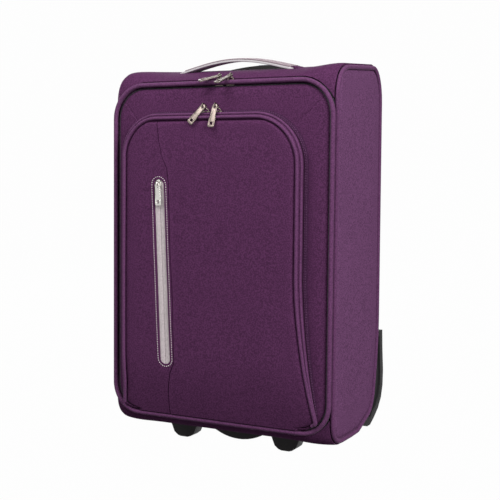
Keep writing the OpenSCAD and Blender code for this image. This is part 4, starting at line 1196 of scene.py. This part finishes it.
class SUITCASE_OT_side_zip(bpy.types.Operator):
    """Makes the pale zip down the pocket's face, with its stitching and the bag behind it"""

    bl_idname = "suitcase.side_zip"
    bl_label = "Side Zip"

    def execute(self, context):
        steps = [mix(SIDE_ZIP_LOW, SIDE_ZIP_TOP, 0.5 - 0.5 * math.cos(math.pi * (i + 1) / 72)) for i in range(71)]
        tapes = []
        for sign in (-1, 1):
            inner = [Vector((zip_x(z) + sign * 0.28, z)) for z in steps]
            outer = [Vector((zip_x(z) + sign * (0.9 + zip_half(z, 1.6)), z)) for z in steps]
            tapes.append(turned(plate([inner + outer[::-1]], 0.9, 0.25), Matrix.Translation((0, -15.9, 0))))
        piece("side_zip_tapes", joined(*tapes), "pale_tape", "pocket_flap", "side_zip_tape", "side_zip_tape")
        middle = [Vector((zip_x(z), -15.2, z)) for z in steps]
        coil = marks(spaced(middle, 2), lambda p: Vector((0, -1, 0)), settings().tooth_pitch / MM, (0.7, 3.0, 0.8))
        piece("side_zip_coil", coil, "pale_tape", "pocket_flap", "side_zip_tape")
        rim = spaced(zip_outline(3.5), 2, True)
        line = [Vector((p.x, cloth_y(p.x, p.y) - 0.12, p.y)) for p in rim]
        sewn = stitches(line, lambda p: Vector((0, -1, 0)), closed=True, size=(1.15, 0.8), pitch=3.3)
        piece("side_zip_stitches", sewn, "pale_thread", "pocket_flap", "side_zip_tape")
        (x0, x1), (z0, z1) = ((low("side_pouch", axis), high("side_pouch", axis)) for axis in (0, 2))
        bag = rounded(x0, x1, z0, z1, 12, steps=6)
        place = Matrix.Translation((0, high("side_pouch", 1) - 0.6, 0))
        piece("side_zip_bag", turned(plate([bag], 1.2, 0.4), place), "lining_cloth", "pocket_flap", "lining_cloth",
              "side_pouch")
        return {"FINISHED"}


def cloth_y(x, z):
    """Depth of the pocket's face at a point."""
    right_side, left_side = face_outline(1), face_outline(-1)
    return pocket_depth(x, z, (reach_at(left_side, z), reach_at(right_side, z), right_side[-1].y))


def tab(length=29, eye=1.9):
    """A zip pull that hangs from an eye at the origin, with a raised edge and a slot near its tip."""
    half, neck = 5.0, 4.0
    outline = (arc((0, 0), (neck, neck), 0, 180, 14)
               + curve((-neck, -length * 0.45), (-half, -length * 0.6), (-half, -length * 0.75), 6)
               + arc((-half + 2.2, 2.2 - length), (2.2, 2.2), 180, 270, 6)
               + arc((half - 2.2, 2.2 - length), (2.2, 2.2), 270, 360, 6)
               + curve((half, -length * 0.75), (half, -length * 0.6), (neck, -length * 0.45), 6))
    hole = arc((0, 0), (eye, eye), 0, 345, 15)
    slot = rounded(-1.8, 1.8, 2.6 - length, 7.5 - length, 0.9, steps=4)
    rim = [mix(Vector((0, -length * 0.42)), p, 0.80) for p in outline]
    core = plate([outline, hole, slot], 1.1, 0.3)
    edge = plate([outline, rim], 1.6, 0.35)
    lip = plate([offset(slot, -0.9), slot], 1.6, 0.3)
    collar = plate([arc((0, 0), (eye + 1.1, eye + 1.1), 0, 345, 15), hole], 1.6, 0.3)
    return joined(core, edge, lip, collar)


def hung(eye, x, tilt, swing):
    """Where a pull hangs: tilt is its slope off upright, swing its turn in its own plane, in degrees."""
    return (Matrix.Translation((x, *eye)) @ Matrix.Rotation(math.radians(90 - tilt), 4, "X")
            @ Matrix.Rotation(math.radians(swing), 4, "Z") @ Matrix.Rotation(-math.pi / 2, 4, "X"))


def stirrup(eye, x, tilt, back):
    """The wire loop that joins a slider to its pull's eye."""
    theta = math.radians(90 - tilt)
    up = Vector((0, math.cos(theta), math.sin(theta)))
    out = Vector((0, -math.sin(theta), math.cos(theta)))
    centre = Vector((x, *eye))
    loop = rounded(0.0, 5.0, -back, 2.0, 1.8, steps=5)
    return cord([centre + up * p.x + out * p.y for p in loop], 0.8, sides=8)


def slider_body(length=12.5, width=6.6):
    """A slider on a chain that runs along X, seen with Z outwards: two plates, a neck and a bridge."""
    half, waist = length / 2, width / 2
    outline = (curve((half, -waist * 0.5), (half + 0.4, 0), (half, waist * 0.5), 5)
               + curve((half * 0.3, waist), (0, waist * 1.05), (-half * 0.7, waist), 6)
               + curve((-half, waist * 0.6), (-half - 0.6, 0), (-half, -waist * 0.6), 5)
               + curve((-half * 0.7, -waist), (0, -waist * 1.05), (half * 0.3, -waist), 6))
    flat = Matrix.Rotation(-math.pi / 2, 4, "X")
    top = turned(plate([outline], 1.5, 0.45), Matrix.Translation((0, 0, 1.6)) @ flat)
    under = turned(plate([outline], 1.1, 0.35), Matrix.Translation((0, 0, -4.6)) @ flat)
    neck = block((5.0, 0.6, 5.6), 0.15, (-1.5, 0, -1.6))
    bridge = cord([Vector((p.x, 0, p.y)) for p in arc((0, 2.0), (4.2, 4.4), 0, 180, 12)], 0.95, closed=False, sides=8)
    ribs = [block((length * 0.62, 0.9, 0.9), 0.3, (0, s * waist * 0.72, 2.5)) for s in (-1, 1)]
    return joined(top, under, neck, bridge, *ribs)


MAIN_EYE = (3.9, 523.0)
POCKET_EYE = (-15.0, 479.5)


class SUITCASE_OT_pulls(bpy.types.Operator):
    """Makes the plated sliders and their pulls"""

    bl_idname = "suitcase.pulls"
    bl_label = "Sliders and Pulls"

    def execute(self, context):
        pairs = (("main", "left", MAIN_EYE, 65, -50, 3.4, (SEAM_Y - 2.8, LID_TOP - 2.2)),
                 ("main", "right", MAIN_EYE, 65, -15, 3.4, (SEAM_Y - 2.8, LID_TOP - 2.2)),
                 ("pocket", "left", POCKET_EYE, 15, -38, 9.0, (-5.6, POCKET_TOP - 4.2)),
                 ("pocket", "right", POCKET_EYE, 15, -5, 9.0, (-5.6, POCKET_TOP - 4.2)))
        for group, side, eye, tilt, swing, back, chain in pairs:
            node = f"{group}_slider_{side}"
            x = centre_of(node, 0)
            facing = -1 if side == "left" else 1
            body = turned(slider_body(), Matrix.Translation((x, *chain)) @ Matrix.Rotation(
                0 if facing > 0 else math.pi, 4, "Z"))
            piece(f"{group}_zip_slider_{side}", joined(body, stirrup(eye, x, tilt, back)), "plated_metal", node,
                  "nickel", node)
            pull = f"{group}_pull_{side}"
            piece(f"{group}_zip_pull_{side}", turned(tab(), hung(eye, x, tilt, swing)), "plated_metal", pull,
                  "nickel", pull)
        self.side_pair()
        return {"FINISHED"}

    def side_pair(self):
        """The slider and pull of the side zip."""
        node = "side_zip_slider"
        z = centre_of(node, 2)
        lean = Matrix.Rotation(-SIDE_ZIP_LEAN, 4, "Y")
        place = Matrix.Translation((zip_x(z), 0, z)) @ lean
        stand = Matrix.Rotation(math.pi / 2, 4, "X")
        quarter = Matrix.Rotation(math.pi / 2, 4, "Z")
        body = turned(slider_body(13, 8.4), Matrix.Translation((0, -16.6, 0)) @ stand @ quarter)
        piece("side_slider", turned(body, place), "bright_metal", node, "nickel", node)
        bar = block((3.0, 1.6, 7.0), 0.5, (0, 0, -3.2))
        grip = turned(tab(27, 1.5), Matrix.Translation((0, 0, -2.4)))
        pull = turned(joined(bar, grip), Matrix.Translation((0, -20.6, 0)))
        piece("side_pull", turned(pull, place), "bright_metal", "side_zip_pull", "nickel", "side_zip_pull")


HANDLE_Y = 52
HANDLE_SLOPE = 6.5
HANDLE_LEN = 182
HANDLE_W = 26
HANDLE_RISE = 15


def strap_z(x):
    """Height of the strap's underside in its own frame."""
    return HANDLE_RISE * math.cos(min(math.pi / 2, math.pi * abs(x) / HANDLE_LEN)) ** 1.1


def strap_layer(start, end, low_z, high_z, front, back, cut=0.0, puff=0.5):
    """A rounded band along the strap between two heights above its underside."""
    rows = []
    for k in range(49):
        x = mix(start, end, k / 48)
        middle_z, half_z = (low_z + high_z) / 2, (high_z - low_z) / 2
        middle_y, half_y = (front + back) / 2, (back - front) / 2
        ring = []
        for i in range(20):
            a = 2 * math.pi * i / 20
            y = middle_y + half_y * math.copysign(abs(math.cos(a)) ** 0.28, math.cos(a))
            z = strap_z(x) + middle_z + half_z * math.copysign(abs(math.sin(a)) ** (0.28 + puff * 0.4), math.sin(a))
            ring.append(Vector((x + cut * (y - middle_y) / half_y, y, z)))
        rows.append(ring)
    bm = capped(rows)
    bmesh.ops.recalc_face_normals(bm, faces=bm.faces)
    return bm


class SUITCASE_OT_carry_handle(bpy.types.Operator):
    """Makes the two-layered carry strap on top, with the cloth that covers its ends"""

    bl_idname = "suitcase.carry_handle"
    bl_label = "Carry Handle"

    def execute(self, context):
        z = CASE_TOP - 11.8
        place = Matrix.Translation((0, HANDLE_Y, z)) @ Matrix.Rotation(math.radians(HANDLE_SLOPE), 4, "X")
        half = HANDLE_LEN / 2
        lower = strap_layer(-half + 1, half - 1, 0.1, 3.5, 0.2, HANDLE_W - 0.2, cut=3)
        piece("carry_strap_lower", turned(lower, place), "strap_webbing", "case", "handle_webbing", "carry_strap")
        upper = strap_layer(-half + 8, half - 8, 3.3, 5.2, 1.3, HANDLE_W - 1.3, cut=2)
        piece("carry_strap_upper", turned(upper, place), "strap_edge", "case", "handle_webbing")
        covers = []
        threads = []
        for sign in (-1, 1):
            rows = []
            for k in range(17):
                x = sign * mix(half - 7, half + 12, k / 16)
                lift = 0.7 + 0.6 * math.sin(math.pi * min(1, k / 13)) ** 0.7
                top = strap_z(x) + 3.6 * (1 - ease(k, 5, 14)) + 0.2
                ring = [Vector((x, mix(1.5, HANDLE_W + 2.5, i / 10), top + lift * (1 - (abs(i - 5) / 5) ** 4)))
                        for i in range(11)]
                ring += [Vector((p.x, p.y, top - 0.4)) for p in ring[::-1]]
                rows.append(ring)
            covers.append(capped(rows))
            line = [Vector((sign * (half - 5), mix(3, HANDLE_W + 1, i / 12), strap_z(half - 5) + 4.9))
                    for i in range(13)]
            threads.append(stitches(spaced(line, 2), lambda p: Vector((0, 0, 1))))
        piece("strap_covers", turned(joined(*covers), place), "panel_cloth", "case", "wrap_fabric", "carry_covers")
        piece("strap_stitches", turned(joined(*threads), place), "panel_thread", "case", "wrap_fabric")
        return {"FINISHED"}


# The lining: its gap to the lid's outline at the lip and further in, the distance between its
# points, and the depth that it is sewn down to.
LINING_LIP = 4.6
LINING_INSET = 11.2
LINING_GAP = 7.2
SEWN_Y = 12

# The netting's left, right, lower and upper edges.
NET = (-130, 130, 80, 400)

# The buckle of the packing straps: its height, half its width and height, and its corners.
BUCKLE_Z = 270
BUCKLE_HALF = (24, 15)
BUCKLE_CORNER = 6


def floor_at(y):
    """Height of the compartment's floor at a depth."""
    base = FLOOR_GAP + 9.2
    if y < FRONT_CORNER_Y:
        return mix(base + 13, base, ease(y, 14, 30))
    return base + WHEEL_RISE * ease(y, FLAT_END_Y, RISE_END_Y)


class SUITCASE_OT_inside(bpy.types.Operator):
    """Makes the lining, the lid's netting pocket and the packing straps"""

    bl_idname = "suitcase.inside"
    bl_label = "Inside"

    def execute(self, context):
        rows = []
        for y in (9.6, 9.6, 9.9, 14, 20, 30, 45, 60, 75, 90, 105, 120, 134, 142, 145):
            inset = LINING_LIP if not rows else LINING_INSET
            at_back = y > 144
            corner = 34 - (6 if at_back else 0)
            x = LID_W / 2 - inset - (3 if at_back else 0)
            top, foot = LID_TOP - inset, floor_at(y) + (LINING_LIP - LINING_INSET if not rows else 0)
            rows.append((y, spaced(rounded(-x, x, foot, top, corner, steps=10), LINING_GAP, True)))
        count = min(len(ring) for _, ring in rows)
        placed = []
        for y, ring in rows:
            ring = spaced(ring, LINING_GAP, True)
            ring = [ring[int(i * len(ring) / count)] for i in range(count)]
            slack = 0.0 if y < SEWN_Y else 1.0
            placed.append([Vector((p.x, y, p.y)) + slack * crumple(p, y) for p in ring])
        bm = loft(placed)
        rear = [e for e in bm.edges if e.is_boundary and e.verts[0].co.y > 100]
        filled = bmesh.ops.holes_fill(bm, edges=rear, sides=0)["faces"]
        bmesh.ops.inset_region(bm, faces=filled, thickness=14, depth=0)
        piece("lining", thickened(bm, 0.8), "lining_cloth", "case", "lining_cloth", "lining")
        backing = turned(plate([lid_outline(7.4)], 0.8, 0.2), Matrix.Translation((0, LID_T + 0.4, 0)))
        piece("lid_backing", backing, "lining_cloth", "lid", "lining_cloth", "lid_lining")
        self.net()
        self.straps()
        return {"FINISHED"}

    def net(self):
        """The netting pocket inside the lid and its binding."""
        x0, x1, z0, z1 = NET
        rows = []
        for k in range(33):
            z = mix(z0, z1, k / 32)
            row = []
            for i in range(41):
                x = mix(x0, x1, i / 40)
                edge = ease(min(x - x0, x1 - x), 0, 60) * ease(z - z0, 0, 60)
                row.append(Vector((x, LID_T + 1.3 + 3.6 * edge + wobble((x, 1, z), 45, 0.9 * edge), z)))
            rows.append(row)
        net_mesh = loft(rows, closed=False)
        netting_sheet = piece("lid_net", net_mesh, "pocket_netting", "lid", "lining_cloth", "mesh_pocket")
        frame_line = [Vector((x, LID_T + 1.6, z)) for x, z in ((x0, z1), (x0, z0), (x1, z0), (x1, z1))]
        bind = joined(cord(spaced(frame_line, 6), 1.5, closed=False, sides=8), cord(rows[-1], 2.0, False, 8))
        binding = piece("net_binding", bind, "zip_tape", "lid", "lining_cloth")

    def straps(self):
        """The crossed packing straps and the plate they meet in."""
        bands = []
        inner_x, outer_x = BUCKLE_HALF[0] - BUCKLE_CORNER, 150
        for s in (-1, 1):
            for t in (-1, 1):
                outline = [Vector((s * x, BUCKLE_Z + t * z)) for x, z in (
                    (inner_x, 1), (inner_x, 13.5), (outer_x, 125), (outer_x, 100))]
                outline = outline if s * t < 0 else outline[::-1]
                bands.append(plate([outline], 1.3, 0.3))
        place = Matrix.Translation((0, high("packing_straps", 1) - 1.6, 0))
        piece("packing_bands", turned(joined(*bands), place), "black_webbing", "case", "webbing", "packing_straps")
        half_x, half_z = BUCKLE_HALF
        corners = rounded(-half_x, half_x, BUCKLE_Z - half_z, BUCKLE_Z + half_z, BUCKLE_CORNER, steps=6)
        recess = [mix(Vector((0, BUCKLE_Z)), p, 0.72) for p in corners]
        solid = plate([corners], 3.6, 0.8)
        rim = turned(plate([corners, recess], 1.8, 0.6), Matrix.Translation((0, -2.4, 0)))
        place = Matrix.Translation((0, centre_of("strap_buckle", 1) + 0.4, 0))
        piece("buckle", turned(joined(solid, rim), place), "black_plastic", "case", "black_plastic", "strap_buckle")


def crumple(p, y):
    """How far loose lining strays at a point."""
    return Vector((wobble((p.x, y, p.y), 38, 1.6, 3), 0, wobble((p.x, y, p.y), 38, 1.6, 5)))


class SUITCASE_OT_wheels(bpy.types.Operator):
    """Makes the two rear wheels with their grooved tyres"""

    bl_idname = "suitcase.wheels"
    bl_label = "Wheels"

    def execute(self, context):
        for word in ("left", "right"):
            tyre = f"tyre_{word}"
            half, radius = half_size(tyre, 0), half_size(tyre, 2)
            place = Matrix.Translation([centre_of(tyre, axis) for axis in range(3)])
            tread = [(-half, 19.2), (-half, radius - 3)] + [(-half + 0.9, radius - 1.0)]
            for k in range(-4, 5, 2):
                tread += [(k - 0.95, radius - 0.02), (k - 0.5, radius - 0.02), (k - 0.35, radius - 0.75),
                          (k + 0.35, radius - 0.75), (k + 0.5, radius - 0.02)]
            tread += [(half - 0.9, radius - 1.0), (half, radius - 3), (half, 19.2)]
            piece(f"tyre_tread_{word}", turned(spun(tread), place), "tyre_rubber", f"wheel_{word}", "tyre_rubber",
                  tyre)
            piece(f"hub_disc_{word}", turned(hub(half), place), "hub_plastic", f"wheel_{word}", "hub_plastic",
                  f"hub_{word}")
        return {"FINISHED"}


def spun(section, steps=72):
    """A ring turned about the X axis from a closed section of (x, radius)."""
    bm = bmesh.new()
    verts, edges = ring_edges(bm, [Vector((x, 0, r)) for x, r in section])
    bmesh.ops.spin(bm, geom=verts + edges, cent=(0, 0, 0), axis=(1, 0, 0), angle=2 * math.pi, steps=steps,
                   use_merge=True, use_duplicate=False)
    bmesh.ops.remove_doubles(bm, verts=bm.verts, dist=1e-3)
    bmesh.ops.recalc_face_normals(bm, faces=bm.faces)
    return bm


def hub(half):
    """A wheel's hub: a rim, a boss and a web with five openings."""
    rim = spun([(-half, 19.2), (-half, 16.6), (-half + 1, 16.0), (half - 1, 16.0), (half, 16.6), (half, 19.2)], 48)
    boss = spun([(-half, 3.2), (-half, 5.6), (-half + 0.8, 6.4), (half - 0.8, 6.4), (half, 5.6), (half, 3.2)], 40)
    openings = []
    for k in range(5):
        a = 2 * math.pi * k / 5
        turn = Matrix.Rotation(a, 2)
        outer = arc((0, 0), (14.2, 14.2), 64, 116, 8)
        inner = arc((0, 0), (8.6, 8.6), 108, 72, 5)
        openings.append([turn @ p for p in outer + inner])
    disc = arc((0, 0), (16.6, 16.6), 0, 352, 44)
    bore = arc((0, 0), (5.4, 5.4), 0, 345, 23)
    web = turned(plate([disc, bore] + openings, 8, 0.8), Matrix.Rotation(math.pi / 2, 4, "Z"))
    return joined(rim, boss, web)


class SUITCASE_OT_hardware(bpy.types.Operator):
    """Finishes the moulded and metal parts"""

    bl_idname = "suitcase.hardware"
    bl_label = "Hard Parts"

    def execute(self, context):
        for node, radius, finish, body, slot in (
                ("foot_left", 0.9, "black_plastic", "case", "black_plastic"),
                ("foot_right", 0.9, "black_plastic", "case", "black_plastic"),
                ("bottom_grip", 0.8, "black_plastic", "case", "black_plastic"),
                ("housing_left", 0.5, "housing_plastic", "case", "housing_plastic"),
                ("housing_right", 0.5, "housing_plastic", "case", "housing_plastic"),
                ("handle_tray", 0.5, "black_plastic", "case", "black_plastic"),
                ("grip", 1.2, "black_plastic", "handle_stage_2", "black_plastic"),
                ("grip_button", 0.5, "button_plastic", "button", "button_plastic"),
                ("outer_tubes", 0, "tube_metal", "case", "tube_aluminium"),
                ("mid_tubes", 0, "tube_metal", "handle_stage_1", "tube_aluminium"),
                ("inner_tubes", 0, "tube_metal", "handle_stage_2", "tube_aluminium"),
                ("frame_wire", 0, "wire_steel", "case", "spring_steel")):
            softened(f"{node}_smoothed", node, radius, finish, body, slot)
        for node, finish in (("tube_foot", "black_plastic"), ("tube_clamps", "black_plastic"),
                             ("carry_plates", "black_plastic"), ("back_board", "board"), ("bottom_board", "board"),
                             ("axle_left", "axle_steel"), ("axle_right", "axle_steel"), ("screws", "axle_steel")):
            refinished(node, finish)
        self.hinge()
        return {"FINISHED"}

    def hinge(self):
        """The cloth strip that joins the lid to the case along the bottom."""
        (x0, x1), (y0, y1) = ((low("hinge_strip", axis), high("hinge_strip", axis)) for axis in (0, 1))
        z = high("hinge_strip", 2)
        rows = [[Vector((mix(x0, x1, k / 40), mix(y0, y1 + 1, i / 8), z + 2.1 - 1.1 * math.sin(math.pi * i / 8)))
                 for k in range(41)] for i in range(9)]
        strip = piece("hinge_cloth", thickened(loft(rows, closed=False), -0.7), "piping_tape_and_highlight", None, "wrap_fabric",
                      "hinge_strip")
        (y1 + FRONT) * MM
        z * MM
        (y0 + FRONT) * MM
        z * MM
        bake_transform(strip)


# The camera's place in metres, its turn, dip and roll in degrees, and its lens.
CAMERA_AT = (0.6874, -1.3204, 0.3852)
CAMERA_TURN = (27.34, 4.1, 0.55)
LENS, SENSOR = 73.57, 36

# Each lamp's name, place and size in metres, and power in watts, and the point that they all face.
LAMPS = (("key_lamp", (2.3, -1.3, 1.4), 1.3, 65),
         ("fill_lamp", (-0.25, -0.85, 1.35), 0.8, 10.8),
         ("back_lamp", (-1.5, 1.7, 1.0), 1.5, 38))
LAMP_TARGET = Vector((0, 0, 0.28))

# Radius of the sweep where the floor turns up behind the suitcase.
SWEEP = 1500


class SUITCASE_OT_stage(bpy.types.Operator):
    """Makes the floor, the lamps and the camera"""

    bl_idname = "suitcase.stage"
    bl_label = "Stage"

    def execute(self, context):
        bend = ([Vector((-4000, 0)), Vector((SWEEP, 0))] + arc((SWEEP, SWEEP), (SWEEP, SWEEP), 280, 360, 10)
                + [Vector((2 * SWEEP, 3 * SWEEP))])
        bm = loft([[Vector((x, *p)) for p in bend] for x in (-5000, 5000)], closed=False)
        bmesh.ops.scale(bm, vec=(MM, MM, MM), verts=bm.verts)
        mesh = bpy.data.meshes.new("floor")
        for face in bm.faces:
            face.smooth = True
        bm.to_mesh(mesh)
        bm.free()
        floor = bpy.data.objects.new("floor", mesh)
        mesh.materials.append(pale_stage("floor_paper", (0.36, 0.36, 0.36)))
        context.scene.collection.objects.link(floor)
        for name, place, size, energy in LAMPS:
            lamp = bpy.data.lights.new(name, "AREA")
            lamp.shape, lamp.size, lamp.energy = "SQUARE", size, energy
            holder = bpy.data.objects.new(name, lamp)
            context.scene.collection.objects.link(holder)
            holder.location = place
            holder.rotation_euler = (LAMP_TARGET - Vector(place)).to_track_quat("-Z", "Y").to_euler()
        self.world(context)
        self.camera(context)
        context.scene.view_settings.view_transform = "Standard"
        return {"FINISHED"}

    def world(self, context):
        """An even pale sky, white where the camera or a mirror sees it."""
        sky = bpy.data.worlds.new("sky")
        sky.use_nodes = True
        start = Wire(sky.node_tree)
        sky.node_tree.nodes.clear()
        direct = seen_directly(start)
        shade = start.node("ShaderNodeBackground", None, {"Color": (1, 1, 1, 1), "Strength": 0.28})
        white = start.node("ShaderNodeBackground", None, {"Color": (1, 1, 1, 1), "Strength": 1.0})
        both = start.node("ShaderNodeMixShader", None, {0: direct, 1: shade, 2: white})
        start.node("ShaderNodeOutputWorld", None, {"Surface": both}, None)
        context.scene.world = sky

    def camera(self, context):
        """The camera: in front, to the right and a little above the middle, looking slightly down."""
        turn, dip, roll = (math.radians(a) for a in CAMERA_TURN)
        forward = Vector((-math.sin(turn) * math.cos(dip), math.cos(turn) * math.cos(dip), -math.sin(dip)))
        right = Vector((math.cos(turn), math.sin(turn), 0))
        up = right.cross(forward)
        across = math.cos(roll) * right + math.sin(roll) * up
        upward = math.cos(roll) * up - math.sin(roll) * right
        lens = bpy.data.cameras.new("camera")
        lens.lens, lens.sensor_width = LENS, SENSOR
        holder = bpy.data.objects.new("camera", lens)
        context.scene.collection.objects.link(holder)
        place = Matrix((across, upward, -forward)).transposed().to_4x4()
        place.translation = CAMERA_AT
        holder.matrix_world = place
        context.scene.camera = holder


MAKERS = (SUITCASE_OT_stage, SUITCASE_OT_wrap, SUITCASE_OT_sides, SUITCASE_OT_lid, SUITCASE_OT_pocket,
          SUITCASE_OT_chains, SUITCASE_OT_side_zip, SUITCASE_OT_pulls, SUITCASE_OT_carry_handle, SUITCASE_OT_inside,
          SUITCASE_OT_wheels, SUITCASE_OT_hardware)


class SUITCASE_PT_panel(bpy.types.Panel):
    """Lists the suitcase's settings and makers"""

    bl_label = "Suitcase"
    bl_idname = "SUITCASE_PT_panel"
    bl_space_type = "VIEW_3D"
    bl_region_type = "UI"
    bl_category = "Suitcase"

    def draw(self, context):
        for name in SuitcaseSettings.__annotations__:
            self.layout.prop(context.scene.suitcase, name)
        for maker in MAKERS:
            self.layout.operator(maker.bl_idname)


def register():
    for part in (SuitcaseSettings, *MAKERS, SUITCASE_PT_panel):
        bpy.utils.register_class(part)
    bpy.types.Scene.suitcase = bpy.props.PointerProperty(type=SuitcaseSettings)


def unregister():
    del bpy.types.Scene.suitcase
    for part in (SUITCASE_PT_panel, *MAKERS[::-1], SuitcaseSettings):
        bpy.utils.unregister_class(part)


def main():
    """Makes every piece in order."""
    register()
    for maker in MAKERS:
        group, name = maker.bl_idname.split(".")
        getattr(getattr(bpy.ops, group), name)()
    bpy.context.view_layer.update()


if __name__ == "__main__":
    main()
